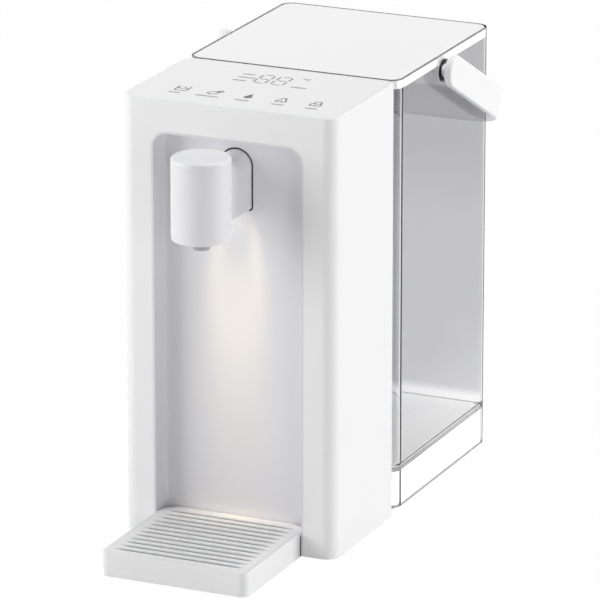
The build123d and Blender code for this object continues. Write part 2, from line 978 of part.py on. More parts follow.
# Water tank: rim recess for the lid, raised floor, skirt over the platform, pivot bosses
with BuildPart() as water_tank:
    with BuildSketch(Plane.XY.offset(tank_bottom)):
        tank_plan(0)
    extrude(amount=housing_top - tank_bottom)
    with BuildSketch(Plane.XY.offset(tank_floor)):
        tank_plan(tank_wall)
    extrude(amount=lid_seat - tank_floor, mode=Mode.SUBTRACT)
    with BuildSketch(Plane.XY.offset(lid_seat)):
        tank_plan(rim_wall)
    extrude(amount=lid_depth, mode=Mode.SUBTRACT)
    with BuildSketch(Plane.XY.offset(tank_bottom)):
        tank_plan(tank_wall)
    extrude(amount=floor_underside - tank_bottom, mode=Mode.SUBTRACT)
    block(
        Plane.XY.offset(tank_bottom),
        (0, tank_front_y),
        2 * (rear_opening_half + skirt_gap),
        2 * tank_wall + skirt_gap,
        floor_underside - tank_bottom,
        Mode.SUBTRACT,
    )
    round_bar(
        Plane.XY.offset(floor_underside),
        (0, valve_y),
        valve_tube_radius + fit_gap,
        tank_floor_thickness,
        Mode.SUBTRACT,
    )
    for side in (-1, 1):
        round_bar(
            side_plane(side * housing_width / 2),
            (pivot_y, pivot_height),
            pivot_boss_radius,
            side * pivot_boss_length,
        )
        round_bar(
            side_plane(side * (housing_width / 2 + pivot_boss_length)),
            (pivot_y, pivot_height),
            pin_radius + run_gap,
            -side * pin_engage,
            Mode.SUBTRACT,
        )
    floors = water_tank.faces().filter_by_position(Axis.Z, tank_floor - run_gap, tank_floor + run_gap)
    fillet(floors.sort_by(SortBy.AREA)[-1].outer_wire().edges(), tank_floor_radius)

# Tank lid: plate with a skirt that stands on the shoulder in the tank's rim
with BuildPart() as tank_lid:
    lid_inset = rim_wall + fit_gap
    with BuildSketch(Plane.XY.offset(lid_seat)):
        tank_plan(lid_inset)
    extrude(amount=lid_depth)
    fillet(tank_lid.edges().group_by(Axis.Z)[-1], lid_edge_radius)
    with BuildSketch(Plane.XY.offset(lid_seat)):
        tank_plan(lid_inset + lid_wall)
    extrude(amount=lid_depth - lid_thickness, mode=Mode.SUBTRACT)

# Tank handle: strap bent to a U, with round ends on the pivots
with BuildPart() as tank_handle:
    handle_plane = Plane(
        origin=(0, pivot_y, pivot_height), x_dir=(1, 0, 0), z_dir=(0, sin(droop), cos(droop))
    )
    with BuildSketch(handle_plane):
        strap_face(0)
        strap_face(handle_thickness, Mode.SUBTRACT)
    extrude(amount=handle_width / 2, both=True)
    tips = tank_handle.edges().filter_by(Axis.X)
    tips = tips.filter_by(lambda edge: edge.length < 2 * handle_thickness)
    fillet(tips, handle_end_share * handle_width)
    seams = tank_handle.edges().filter_by(Axis(handle_plane.origin, handle_plane.z_dir))
    seams += tank_handle.edges().filter_by(lambda edge: edge.length < 2 * handle_thickness)
    fillet(tank_handle.edges() - seams, handle_edge_radius)
    for side in (-1, 1):
        round_bar(
            side_plane(side * handle_inner),
            (pivot_y, pivot_height),
            pin_radius + press_gap,
            side * pin_seat,
            Mode.SUBTRACT,
        )

# Handle pins: pressed into the strap, free in the tank's bosses
with BuildPart() as handle_pins:
    pin_inner = housing_width / 2 + pivot_boss_length - pin_engage + fit_gap
    for side in (-1, 1):
        round_bar(
            side_plane(side * pin_inner),
            (pivot_y, pivot_height),
            pin_radius,
            side * (handle_inner + pin_seat - pin_inner),
        )

# Tank valve: tube through the tank's floor with a seat below and a cage above
with BuildPart() as tank_valve:
    flange_top = tank_floor + valve_flange_thickness
    chamber_radius = valve_tube_radius - valve_wall
    with BuildSketch(standing_plane(valve_y)):
        with BuildLine():
            Polyline(
                (valve_seat_radius, valve_tube_bottom),
                (valve_tube_radius, valve_tube_bottom),
                (valve_tube_radius, tank_floor),
                (valve_tube_radius + valve_flange, tank_floor),
                (valve_tube_radius + valve_flange, flange_top),
                (valve_tube_radius, flange_top),
                (valve_tube_radius, cage_top),
                (plunger_radius + run_gap, cage_top),
                (plunger_radius + run_gap, cage_under),
                (chamber_radius, cage_under),
                (chamber_radius, valve_seat_top),
                (valve_seat_radius, valve_seat_top),
                close=True,
            )
        make_face()
    revolve(axis=upright_axis(valve_y))
    window_height = cage_under - flange_top
    for width, length in (
        (valve_window_width, 2 * valve_tube_radius + valve_flange),
        (2 * valve_tube_radius + valve_flange, valve_window_width),
    ):
        block(Plane.XY.offset(flange_top), (0, valve_y), width, length, window_height, Mode.SUBTRACT)

# Valve plunger: stem with a disc, lifted by the socket's pin
with BuildPart() as valve_plunger:
    plunger_length = cage_top + valve_cage_top + valve_travel - plunger_bottom
    round_bar(Plane.XY.offset(plunger_bottom), (0, valve_y), plunger_radius, plunger_length)
    round_bar(
        Plane.XY.offset(plunger_disc_bottom), (0, valve_y), plunger_disc_radius, plunger_disc_thickness
    )

# Valve seal: rubber ring under the plunger's disc
with BuildPart() as valve_seal:
    round_bar(Plane.XY.offset(seal_bottom), (0, valve_y), valve_seal_radius, valve_seal_thickness)
    round_bar(
        Plane.XY.offset(seal_bottom),
        (0, valve_y),
        plunger_radius + press_gap,
        valve_seal_thickness,
        Mode.SUBTRACT,
    )

# Valve spring: coil between the plunger's disc and the cage
with BuildPart() as valve_spring:
    coil_bottom = plunger_disc_top + spring_seat_gap + spring_wire
    coil_top = cage_under - spring_seat_gap - spring_wire
    coil_steps = 2 * spring_turns
    coil_rise = (coil_top - coil_bottom) / coil_steps
    coil_slope = coil_rise / (pi * spring_radius)
    places = []
    headings = []
    for step in range(coil_steps + 1):
        angle = pi * step
        places.append(
            Vector(
                spring_radius * cos(angle),
                valve_y + spring_radius * sin(angle),
                coil_bottom + step * coil_rise,
            )
        )
        headings.append(Vector(-sin(angle), cos(angle), coil_slope).normalized())
    with BuildLine() as coil:
        for step in range(coil_steps):
            start = places[step]
            end = places[step + 1]
            chord = end - start
            lean = chord.dot(headings[step] + headings[step + 1])
            spread = 2 - 2 * headings[step].dot(headings[step + 1])
            reach = ((lean**2 + spread * chord.length**2) ** 0.5 - lean) / spread
            near = start + headings[step] * reach
            far = end - headings[step + 1] * reach
            middle = (near + far) * 0.5
            TangentArc(start, middle, tangent=headings[step])
            TangentArc(middle, end, tangent=(far - near).normalized())
    with BuildSketch(Plane(origin=places[0], z_dir=headings[0])):
        Circle(spring_wire)
    sweep(path=coil.wire())

# Least gap between the coil's turns, measured on points along it
coil_points = [coil.wire() @ (step / coil_samples) for step in range(coil_samples + 1)]
turn_samples = coil_samples // spring_turns
coil_gap = min(
    (coil_points[first] - coil_points[second]).length
    for first in range(coil_samples + 1)
    for second in range(first + turn_samples // 2, coil_samples + 1)
)
print("valve spring, least gap between turns:", coil_gap - 2 * spring_wire)

# Inlet socket: cup under the platform with the pin that opens the valve and a hose stub
with BuildPart() as inlet_socket:
    socket_floor_top = pump_z - stub_radius - socket_floor / 2
    socket_bottom = socket_floor_top - socket_floor
    groove_middle = platform_under - seal_groove_drop
    groove_half = seal_minor_radius + run_gap
    with BuildSketch(standing_plane(valve_y)):
        with BuildLine():
            Polyline(
                (0, socket_bottom),
                (socket_radius, socket_bottom),
                (socket_radius, platform_under - flange_thickness),
                (socket_radius + socket_flange, platform_under - flange_thickness),
                (socket_radius + socket_flange, platform_under),
                (socket_radius, platform_under),
                (socket_radius, platform_top),
                (socket_bore, platform_top),
                (socket_bore, groove_middle + groove_half),
                (socket_bore + groove_half, groove_middle + groove_half),
                (socket_bore + groove_half, groove_middle - groove_half),
                (socket_bore, groove_middle - groove_half),
                (socket_bore, socket_floor_top),
                (plunger_radius, socket_floor_top),
                (plunger_radius, plunger_bottom - fit_gap),
                (0, plunger_bottom - fit_gap),
                close=True,
            )
        make_face()
    revolve(axis=upright_axis(valve_y))
    socket_face_y = valve_y - socket_radius
    round_bar(
        standing_plane(valve_y - socket_bore - socket_wall / 2),
        (0, pump_z),
        stub_radius,
        socket_wall / 2 + stub_length,
    )
    round_bar(
        standing_plane(valve_y - socket_bore + socket_wall / 2),
        (0, pump_z),
        stub_bore,
        2 * socket_wall + stub_length,
        Mode.SUBTRACT,
    )

# Inlet seal: rubber ring in the socket's groove
with BuildPart() as inlet_seal:
    with BuildSketch(standing_plane(valve_y)):
        with Locations((socket_bore, groove_middle)):
            Circle(seal_minor_radius)
    revolve(axis=upright_axis(valve_y))

# Pump cradle: saddle under the motor on the base plate
with BuildPart() as pump_cradle:
    cradle_y = motor_front_y + motor_length / 2
    block(
        Plane.XY.offset(plate_top),
        (pump_x, cradle_y),
        2 * (motor_radius + cradle_side),
        cradle_length,
        cradle_floor + cradle_rise_share * motor_radius,
    )
    round_bar(
        standing_plane(cradle_y + cradle_length / 2),
        (pump_x, pump_z),
        motor_radius + contact_gap,
        cradle_length,
        Mode.SUBTRACT,
    )

# Pump motor: can with a bore for the shaft
with BuildPart() as pump_motor:
    round_bar(standing_plane(volute_front_y), (pump_x, pump_z), motor_radius, motor_length)
    fillet(pump_motor.edges().group_by(Axis.Y)[0], motor_edge_radius)
    round_bar(
        standing_plane(volute_front_y),
        (pump_x, pump_z),
        shaft_radius + run_gap,
        shaft_reach + impeller_lift,
        Mode.SUBTRACT,
    )

# Pump body: round chamber with a riser at its side
with BuildPart() as pump_body:
    chamber_front_y = volute_rear_y - volute_chamber_depth
    riser_top = pump_z + motor_radius + impeller_lift
    round_bar(standing_plane(volute_rear_y), (pump_x, pump_z), motor_radius, volute_length)
    round_bar(Plane.XY.offset(pump_z), (0, riser_y), hose_radius, riser_top - pump_z)
    round_bar(Plane.XY.offset(riser_top), (0, riser_y), stub_radius, stub_length)
    round_bar(
        standing_plane(volute_rear_y),
        (pump_x, pump_z),
        volute_chamber_radius,
        volute_chamber_depth,
        Mode.SUBTRACT,
    )
    round_bar(
        standing_plane(chamber_front_y),
        (pump_x, pump_z),
        shaft_radius + run_gap,
        volute_length - volute_chamber_depth,
        Mode.SUBTRACT,
    )
    round_bar(
        Plane.XY.offset(pump_z), (0, riser_y), stub_bore, riser_top + stub_length - pump_z, Mode.SUBTRACT
    )

# Pump cover: lid of the chamber with the inlet stub
with BuildPart() as pump_cover:
    cover_rear_y = volute_rear_y + pump_cover_thickness
    round_bar(standing_plane(cover_rear_y), (pump_x, pump_z), motor_radius, pump_cover_thickness)
    round_bar(standing_plane(cover_rear_y), (pump_x, pump_z), stub_radius, -stub_length)
    round_bar(
        standing_plane(cover_rear_y + stub_length),
        (pump_x, pump_z),
        stub_bore,
        stub_length + pump_cover_thickness,
        Mode.SUBTRACT,
    )

# Pump impeller: bladed disc on the shaft
with BuildPart() as pump_impeller:
    disc_front_y = chamber_front_y + impeller_lift
    disc_rear_y = disc_front_y + impeller_disc
    round_bar(standing_plane(disc_rear_y), (pump_x, pump_z), impeller_radius, impeller_disc)
    with BuildSketch(standing_plane(disc_rear_y)):
        with Locations((pump_x, pump_z)):
            Circle(impeller_hub_radius)
            with PolarLocations(impeller_radius / 2, impeller_blades):
                Rectangle(impeller_radius - impeller_blade, impeller_blade)
    extrude(amount=-(impeller_height - impeller_disc))
    round_bar(
        standing_plane(disc_front_y),
        (pump_x, pump_z),
        shaft_radius,
        disc_front_y - volute_front_y + shaft_reach,
    )

# Heater tube: metal tube with the flow inside
with BuildPart() as heater_tube:
    round_bar(Plane.XY.offset(heater_bottom), (0, heater_y), heater_radius, heater_length)
    round_bar(
        Plane.XY.offset(heater_bottom),
        (0, heater_y),
        heater_radius - heater_wall,
        heater_length,
        Mode.SUBTRACT,
    )

# Heater caps: close the tube at both ends, each with a hose stub
with BuildPart() as heater_caps:
    cap_radius = heater_radius + heater_cap_wall
    cap_end = heater_cap_height - heater_cap_sink
    for seat, way in ((heater_bottom, -1), (heater_top, 1)):
        cap_inner = seat - way * heater_cap_sink
        cap_outer = seat + way * cap_end
        round_bar(Plane.XY.offset(cap_inner), (0, heater_y), cap_radius, way * heater_cap_height)
        round_bar(Plane.XY.offset(cap_outer), (0, heater_y), stub_radius, way * stub_length)
        round_bar(
            Plane.XY.offset(cap_inner),
            (0, heater_y),
            heater_radius + contact_gap,
            way * heater_cap_sink,
            Mode.SUBTRACT,
        )
        round_bar(
            Plane.XY.offset(seat),
            (0, heater_y),
            stub_bore,
            way * (cap_end + stub_length),
            Mode.SUBTRACT,
        )

# Heater bracket: plate on the alcove's back wall with two ring clamps
with BuildPart() as heater_bracket:
    clamp_places = [
        heater_bottom + clamp_place_share * heater_length,
        heater_top - clamp_place_share * heater_length,
    ]
    clamp_radius = heater_radius + clamp_wall
    block(
        standing_plane(liner_rear_y),
        (0, sum(clamp_places) / 2),
        bracket_width,
        clamp_places[1] - clamp_places[0] + clamp_height,
        -bracket_thickness,
    )
    for clamp_z in clamp_places:
        block(
            standing_plane(liner_rear_y),
            (0, clamp_z),
            clamp_height,
            clamp_height,
            liner_rear_y - heater_y,
        )
        round_bar(
            Plane.XY.offset(clamp_z - clamp_height / 2), (0, heater_y), clamp_radius, clamp_height
        )
        round_bar(
            Plane.XY.offset(clamp_z - clamp_height / 2),
            (0, heater_y),
            heater_radius + contact_gap,
            clamp_height,
            Mode.SUBTRACT,
        )

# Thermostat: cut-out button on the heater's side
with BuildPart() as thermostat:
    heater_middle = (heater_bottom + heater_top) / 2
    round_bar(
        side_plane(heater_radius - thermostat_height / 2),
        (heater_y, heater_middle),
        thermostat_radius,
        thermostat_height + thermostat_height / 2,
    )
    round_bar(
        Plane.XY.offset(heater_middle - thermostat_height),
        (0, heater_y),
        heater_radius + contact_gap,
        2 * thermostat_height,
        Mode.SUBTRACT,
    )

# Inlet hose: from the socket to the pump
with BuildPart() as inlet_hose:
    hose_lead = stub_length + hose_radius / 2
    hose_along(
        (
            (pump_x, cover_rear_y, pump_z),
            (pump_x, cover_rear_y + hose_lead, pump_z),
            (0, socket_face_y - hose_lead, pump_z),
            (0, socket_face_y, pump_z),
        ),
        hose_bend,
    )

# Pump hose: from the pump up to the heater
with BuildPart() as pump_hose:
    heater_inlet = heater_bottom - cap_end
    rise_lead = stub_length + hose_radius
    hose_along(
        (
            (0, riser_y, riser_top),
            (0, riser_y, riser_top + rise_lead),
            (0, heater_y, heater_inlet - rise_lead),
            (0, heater_y, heater_inlet),
        ),
        hose_bend,
    )

# Outlet hose: from the heater through the arm to the nozzle
with BuildPart() as outlet_hose:
    hose_along(
        (
            (0, heater_y, heater_top + cap_end),
            (0, heater_y, outlet_hose_z),
            (0, head_y, outlet_hose_z),
            (0, head_y, head_floor_top),
        ),
        outlet_bend,
    )

# Every piece goes out as its own named node
pieces = {
    "front_shell": front_shell,
    "alcove_panel": alcove_panel,
    "control_panel": control_panel,
    "control_board": control_board,
    "display_module": display_module,
    "touch_pads": touch_pads,
    "rear_panel": rear_panel,
    "rear_screws": rear_screws,
    "power_board": power_board,
    "board_cable": board_cable,
    "base_plate": base_plate,
    "base_screws": base_screws,
    "rubber_feet": rubber_feet,
    "tank_platform": tank_platform,
    "cord_gland": cord_gland,
    "spout_arm": spout_arm,
    "spout_head": spout_head,
    "spout_bottom": spout_bottom,
    "nozzle": nozzle,
    "light_lens": light_lens,
    "light_board": light_board,
    "drip_tray": drip_tray,
    "drip_grille": drip_grille,
    "water_tank": water_tank,
    "tank_lid": tank_lid,
    "tank_handle": tank_handle,
    "handle_pins": handle_pins,
    "tank_valve": tank_valve,
    "valve_plunger": valve_plunger,
    "valve_seal": valve_seal,
    "valve_spring": valve_spring,
    "inlet_socket": inlet_socket,
    "inlet_seal": inlet_seal,
    "pump_cradle": pump_cradle,
    "pump_motor": pump_motor,
    "pump_body": pump_body,
    "pump_cover": pump_cover,
    "pump_impeller": pump_impeller,
    "heater_tube": heater_tube,
    "heater_caps": heater_caps,
    "heater_bracket": heater_bracket,
    "thermostat": thermostat,
    "inlet_hose": inlet_hose,
    "pump_hose": pump_hose,
    "outlet_hose": outlet_hose,
}
os.makedirs("parts", exist_ok=True)
for label, piece in pieces.items():
    piece.part.label = label
    export_step(piece.part, f"parts/{label}.step")
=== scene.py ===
import math

import bpy
from bpy.props import FloatProperty, FloatVectorProperty, PointerProperty
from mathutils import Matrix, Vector


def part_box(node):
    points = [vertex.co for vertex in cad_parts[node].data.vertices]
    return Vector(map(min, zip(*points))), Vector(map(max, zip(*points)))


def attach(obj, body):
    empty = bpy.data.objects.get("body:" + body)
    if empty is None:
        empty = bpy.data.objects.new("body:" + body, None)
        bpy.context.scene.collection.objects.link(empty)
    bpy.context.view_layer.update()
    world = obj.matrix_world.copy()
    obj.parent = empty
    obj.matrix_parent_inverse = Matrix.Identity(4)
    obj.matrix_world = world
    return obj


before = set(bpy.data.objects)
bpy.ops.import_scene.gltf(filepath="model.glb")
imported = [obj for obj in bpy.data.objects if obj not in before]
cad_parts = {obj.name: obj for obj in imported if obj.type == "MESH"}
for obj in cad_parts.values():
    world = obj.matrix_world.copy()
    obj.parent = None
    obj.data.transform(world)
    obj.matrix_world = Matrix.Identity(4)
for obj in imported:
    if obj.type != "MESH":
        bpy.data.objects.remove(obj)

bl_info = {
    "name": "Hot Water Dispenser",
    "version": (1, 0, 0),
    "blender": (4, 5, 0),
    "location": "View3D > Sidebar > Dispenser",
    "description": "Finishes, printed marks and studio for a worktop hot water dispenser",
    "category": "Object",
}

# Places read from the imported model, in metres
MM = 0.001
PANEL_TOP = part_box("control_panel")[1].z
TANK_LOW, TANK_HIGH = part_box("water_tank")
LID_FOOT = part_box("tank_lid")[0].z
SHELL_LOW, SHELL_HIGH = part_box("front_shell")
LENS_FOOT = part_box("light_lens")[0].z
ALCOVE_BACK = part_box("alcove_panel")[1].y
GRILLE_LOW, GRILLE_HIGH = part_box("drip_grille")
FRONT_Y = SHELL_LOW.y

# The five touch symbols from left to right, each with its plain bar's sideways offset and length
# in millimetres
SYMBOLS = (
    ("cup", -1.6, 8.6),
    ("bottle", -1.9, 16.6),
    ("drop", -0.4, 10.2),
    ("heat", 1.3, 9.6),
    ("lock", 1.4, 9.2),
)

# Turn of the leaning bottle symbol, in degrees
BOTTLE_LEAN = -41.0

# Plain bars round the readout: sideways offset, offset in depth and length in millimetres
READOUT_BARS = (
    (-20.1, 6.6, 9.4),
    (-18.4, -1.1, 13.0),
    (-20.1, -8.9, 10.0),
    (23.0, -10.4, 11.6),
)

# Gap at the ends of a digit's bars, as a share of their width
BAR_GAP_SHARE = 0.9

# Degree ring and unit arc beside the digits, placed from the digits' middle
DEGREE_OFFSET = (18.4 * MM, 10.4 * MM)
DEGREE_RADIUS = 1.0 * MM
DEGREE_STROKE = 0.6 * MM
UNIT_OFFSET = (21.8 * MM, 9.3 * MM)
UNIT_RADIUS = 1.5 * MM
UNIT_STROKE = 0.7 * MM
UNIT_STRETCH = 1.3

# Bounds of the tank's painted shade on its walls, corners and rims, each from where its mask is nought to
# where it is one
REAR_WALL = (TANK_HIGH.y - 4.5 * MM, TANK_HIGH.y - 3.5 * MM)
REAR_CORNERS = (TANK_HIGH.y - 9.0 * MM, TANK_HIGH.y - 8.0 * MM)
# Painted shade on the rear wall, cleared at the floor as painted light and darker higher up
REAR_SHADE_FOOT = (33.0 * MM, 41.0 * MM)
REAR_SHADE_HIGH = (150.0 * MM, 220.0 * MM)
# Painted shade on the sides, cleared at the floor as painted light and clear from the lid's foot up
SIDE_SHADE_FOOT = (32.0 * MM, 105.0 * MM)
SIDE_SHADE_TOP = (LID_FOOT + 0.5 * MM, LID_FOOT - 1.0 * MM)
# Painted shade in the tank's upright corners and along its rims
CORNER_FOOT = (32.0 * MM, 70.0 * MM)
CORNER_SPREAD = (6.0 * MM, 0.0)
CORNER_CORE = (3.2 * MM, 2.2 * MM)
# Where the painted dark line on the rear corners lies
CORNER_LINE = (9.0 * MM, 7.5 * MM)
TOP_RIM = (TANK_HIGH.z - 1.5 * MM, TANK_HIGH.z - 0.5 * MM)
BOTTOM_RIM = (TANK_LOW.z + 1.4 * MM, TANK_LOW.z + 0.6 * MM)

# How far a rear corner turns away from the eye before its painted dark line shows, one being edge on
LINE_SLANT = (0.5, 0.7)

# Bounds of the painted shade in the grille's grooves and of the painted highlight on its top inside the rim
GROOVE_SIDES = (GRILLE_HIGH.x - 2.0 * MM, GRILLE_HIGH.x - 3.0 * MM)
GROOVE_FRONT = (GRILLE_LOW.y + 2.0 * MM, GRILLE_LOW.y + 3.0 * MM)
GROOVE_DEPTH = (GRILLE_HIGH.z - 0.2 * MM, GRILLE_HIGH.z - 1.3 * MM)

# Bounds of the shade where a piece enters the housing, and where the arm and the tray enter it
ROOT_DEPTH = (-0.1 * MM, 0.9 * MM)
ROOT_FLANK = (-0.1 * MM, 0.0)
ARM_WALL = ALCOVE_BACK - 2.66 * MM
TRAY_WALL = FRONT_Y - 1.0 * MM
TRAY_FLANK = GRILLE_HIGH.x - 0.3 * MM

# Tones and tints that aren't set in the sidebar and have more than one use or no material's name
WHITE = (1.0, 1.0, 1.0)
SOFT_WHITE = (0.90, 0.90, 0.905)
# The arm's white is lighter than the housing's: painted light on the arm, which the alcove shades from
# above
ARM_LIT_WHITE = (0.95, 0.95, 0.96)
ARM_SHADE = (0.16, 0.16, 0.165)
TRAY_SHADE = (0.10, 0.10, 0.105)
# Painted highlight on the grille's top and painted shade in its grooves
GRILLE_HIGHLIGHT = (0.96, 0.96, 0.965)
GRILLE_SHADE = (0.24, 0.24, 0.255)
# Painted shade of the tank's dark corners and rims
EDGE_SHADE = (0.22, 0.22, 0.23)
# Painted dark line on the tank's rear corners
LINE_SHADE = (0.20, 0.20, 0.21)
# Darker painted shade on the rear wall higher up, as a share of its tone lower down
HIGH_REAR_SHADE_SHARE = 0.78

# Share of the lamps' light that passes each face of the clear tank and of its thin lid
TANK_PASS = 1.0
LID_PASS = 0.7

# Noise of the finishes: scales per metre, and what it does to level and roughness
CLOUD_SCALE = 14.0
CLOUD_SPAN = (0.3, 0.7)
GRAIN_SCALE = 1800.0
GRAIN_DEPTH = 0.1 * MM
WEAR_SCALE = 30.0
WEAR_ROUGHNESS = 0.06
DRAWN_SCALE = 900.0
DRAWN_STRETCH = (1.0, 1.0, 0.05)
DRAWN_LEVEL, DRAWN_SWING = 0.9, 0.2
DRAWN_ROUGHNESS, DRAWN_ROUGHNESS_SWING = 0.22, 0.25
DRAWN_BUMP = 0.1
CLEAR_IOR = 1.49
LENS_STRENGTH = 1.2

# Soft lights: name, setting of its power, place and width in metres
SOFT_LIGHTS = (
    ("light_left", "left_power", (-1.12, -0.80, 0.66), 1.2),
    ("light_right", "right_power", (2.08, 0.68, 0.60), 1.3),
    ("light_top", "top_power", (0.10, 0.62, 2.0), 1.3),
    ("light_fill", "fill_power", (1.75, -1.60, 0.55), 1.2),
)
LIGHT_AIM = (0.0, -0.02, 0.16)

# Lamp under the spout's lens: its face, beam, tilt and gaps to the alcove's back and the lens
LAMP_WIDTH = 44.0 * MM
LAMP_DEPTH = 28.0 * MM
LAMP_SPREAD = math.radians(24.0)
LAMP_TILT = math.radians(9.0)
LAMP_BACK_GAP = 3.1 * MM
LAMP_DROP = 1.0 * MM

# Floor's tone and roughness, and the share of plain white that the camera sees on it
FLOOR_TONE = (0.80, 0.80, 0.80)
FLOOR_ROUGHNESS = 0.9
FLOOR_WHITE_SHARE = 0.985

# Camera's sensor in millimetres and the end of its view in metres
SENSOR_WIDTH = 36.0
VIEW_END = 100.0


class MarkSizes(bpy.types.PropertyGroup):
    """Sizes of what is printed on the control panel"""

    stroke: FloatProperty(
        name="Stroke",
        description="Line width of the printed symbols",
        default=1.1 * MM,
        unit="LENGTH",
    )
    ink_height: FloatProperty(
        name="Ink height",
        description="How far the print stands above the panel",
        default=0.03 * MM,
        unit="LENGTH",
    )
    symbol_pitch: FloatProperty(
        name="Symbol pitch",
        description="Distance between neighbouring touch symbols",
        default=23.6 * MM,
        unit="LENGTH",
    )
    symbol_row: FloatProperty(
        name="Symbol row",
        description="Distance of the symbols' middle from the front face",
        default=29.0 * MM,
        unit="LENGTH",
    )
    symbol_shift: FloatProperty(
        name="Symbol shift",
        description="Sideways place of the middle symbol",
        default=2.6 * MM,
        unit="LENGTH",
    )
    symbol_size: FloatProperty(
        name="Symbol size",
        description="Height of a touch symbol",
        default=10.8 * MM,
        unit="LENGTH",
    )
    caption_row: FloatProperty(
        name="Caption row",
        description="Distance of the symbols' bars from the front face",
        default=18.7 * MM,
        unit="LENGTH",
    )
    caption_height: FloatProperty(
        name="Caption height",
        description="Height of a caption bar",
        default=2.1 * MM,
        unit="LENGTH",
    )
    digit_height: FloatProperty(
        name="Digit height",
        description="Height of a readout digit",
        default=19.4 * MM,
        unit="LENGTH",
    )
    digit_width: FloatProperty(
        name="Digit width",
        description="Width of a readout digit",
        default=8.6 * MM,
        unit="LENGTH",
    )
    digit_pitch: FloatProperty(
        name="Digit pitch",
        description="Distance between the two digits",
        default=12.6 * MM,
        unit="LENGTH",
    )
    digit_row: FloatProperty(
        name="Digit row",
        description="Distance of the digits' middle from the front face",
        default=71.6 * MM,
        unit="LENGTH",
    )
    digit_shift: FloatProperty(
        name="Digit shift",
        description="Sideways place of the middle of the two digits",
        default=0.5 * MM,
        unit="LENGTH",
    )
    digit_stroke: FloatProperty(
        name="Digit stroke",
        description="Width of a digit's bars",
        default=1.15 * MM,
        unit="LENGTH",
    )


class FinishColours(bpy.types.PropertyGroup):
    """Colours of the dispenser's finishes"""

    shell: FloatVectorProperty(
        name="Shell", description="White of the housing", subtype="COLOR", size=3,
        default=(0.915, 0.915, 0.92), min=0.0, max=1.0,
    )
    alcove: FloatVectorProperty(
        name="Alcove", description="Grey of the alcove liner", subtype="COLOR", size=3,
        default=(0.80, 0.795, 0.82), min=0.0, max=1.0,
    )
    # The tank's own near-clear tint, shown near its floor where the painted shade clears
    tank: FloatVectorProperty(
        name="Tank", description="Tint of the tank near its floor", subtype="COLOR", size=3,
        default=(0.98, 0.98, 0.985), min=0.0, max=1.0,
    )
    # Painted shade on the tank's sides
    side_shade: FloatVectorProperty(
        name="Haze", description="Tint of the tank's sides", subtype="COLOR", size=3,
        default=(0.80, 0.80, 0.815), min=0.0, max=1.0,
    )
    # Painted shade on the tank's rear wall
    rear_shade: FloatVectorProperty(
        name="Smoke", description="Tint of the tank's rear wall", subtype="COLOR", size=3,
        default=(0.55, 0.55, 0.565), min=0.0, max=1.0,
    )
    ink: FloatVectorProperty(
        name="Ink", description="Grey of the printed symbols", subtype="COLOR", size=3,
        default=(0.115, 0.115, 0.12), min=0.0, max=1.0,
    )
    faint_ink: FloatVectorProperty(
        name="Faint ink", description="Grey of the caption bars", subtype="COLOR", size=3,
        default=(0.30, 0.30, 0.305), min=0.0, max=1.0,
    )
    glow: FloatVectorProperty(
        name="Glow", description="Colour of the light under the spout arm", subtype="COLOR", size=3,
        default=(1.0, 0.80, 0.45), min=0.0, max=1.0,
    )


class StudioSettings(bpy.types.PropertyGroup):
    """Light, floor and camera of the studio"""

    left_power: FloatProperty(
        name="Left light", description="Power of the soft light on the left", default=13.6, unit="POWER"
    )
    right_power: FloatProperty(
        name="Right light", description="Power of the soft light on the right", default=22.7, unit="POWER"
    )
    top_power: FloatProperty(
        name="Top light", description="Power of the soft light overhead", default=17.4, unit="POWER"
    )
    fill_power: FloatProperty(
        name="Fill light", description="Power of the weak light in front", default=8.0, unit="POWER"
    )
    glow_power: FloatProperty(
        name="Spout light", description="Power of the lamp behind the spout lens", default=0.0056,
        unit="POWER",
    )
    ambient: FloatProperty(
        name="Ambient", description="Strength of the even light all round", default=0.20
    )
    floor_size: FloatProperty(
        name="Floor", description="Side of the floor", default=14.0, unit="LENGTH"
    )
    camera_place: FloatVectorProperty(
        name="Camera place", description="Where the camera stands", size=3, subtype="XYZ", unit="LENGTH",
        default=(1.46127, -3.235597, 1.26787),
    )
    camera_tilt: FloatProperty(
        name="Camera tilt", description="How far the camera looks down", subtype="ANGLE",
        default=math.radians(17.585),
    )
    camera_turn: FloatProperty(
        name="Camera turn", description="How far the camera stands to the right of the front",
        subtype="ANGLE", default=math.radians(24.182),
    )
    camera_lens: FloatProperty(
        name="Lens", description="Focal length on a 36 mm sensor", default=334.68
    )


# Modelling helpers

def deselect_all():
    """Leave object mode clean, with nothing selected."""
    if bpy.context.mode != "OBJECT":
        bpy.ops.object.mode_set(mode="OBJECT")
    bpy.ops.object.select_all(action="DESELECT")


def add_outline(name, points):
    """Flat filled outline through the points, at the panel's top."""
    deselect_all()
    bpy.ops.mesh.primitive_circle_add(vertices=len(points), radius=MM, fill_type="NGON")
    piece = bpy.context.object
    piece.name = name
    for vertex, point in zip(piece.data.vertices, points):
        vertex.co = (point[0], point[1], PANEL_TOP)
    return piece


def raise_print(piece, height):
    """Pull a flat print up to its ink's height and close it."""
    bpy.ops.object.mode_set(mode="EDIT")
    bpy.ops.mesh.select_all(action="SELECT")
    bpy.ops.mesh.extrude_region_move(TRANSFORM_OT_translate={"value": (0, 0, height)})
    bpy.ops.mesh.select_all(action="SELECT")
    bpy.ops.mesh.normals_make_consistent(inside=False)
    bpy.ops.object.mode_set(mode="OBJECT")
    return piece


def print_solid(name, points, height):
    """Print filled to its outline."""
    return raise_print(add_outline(name, points), height)


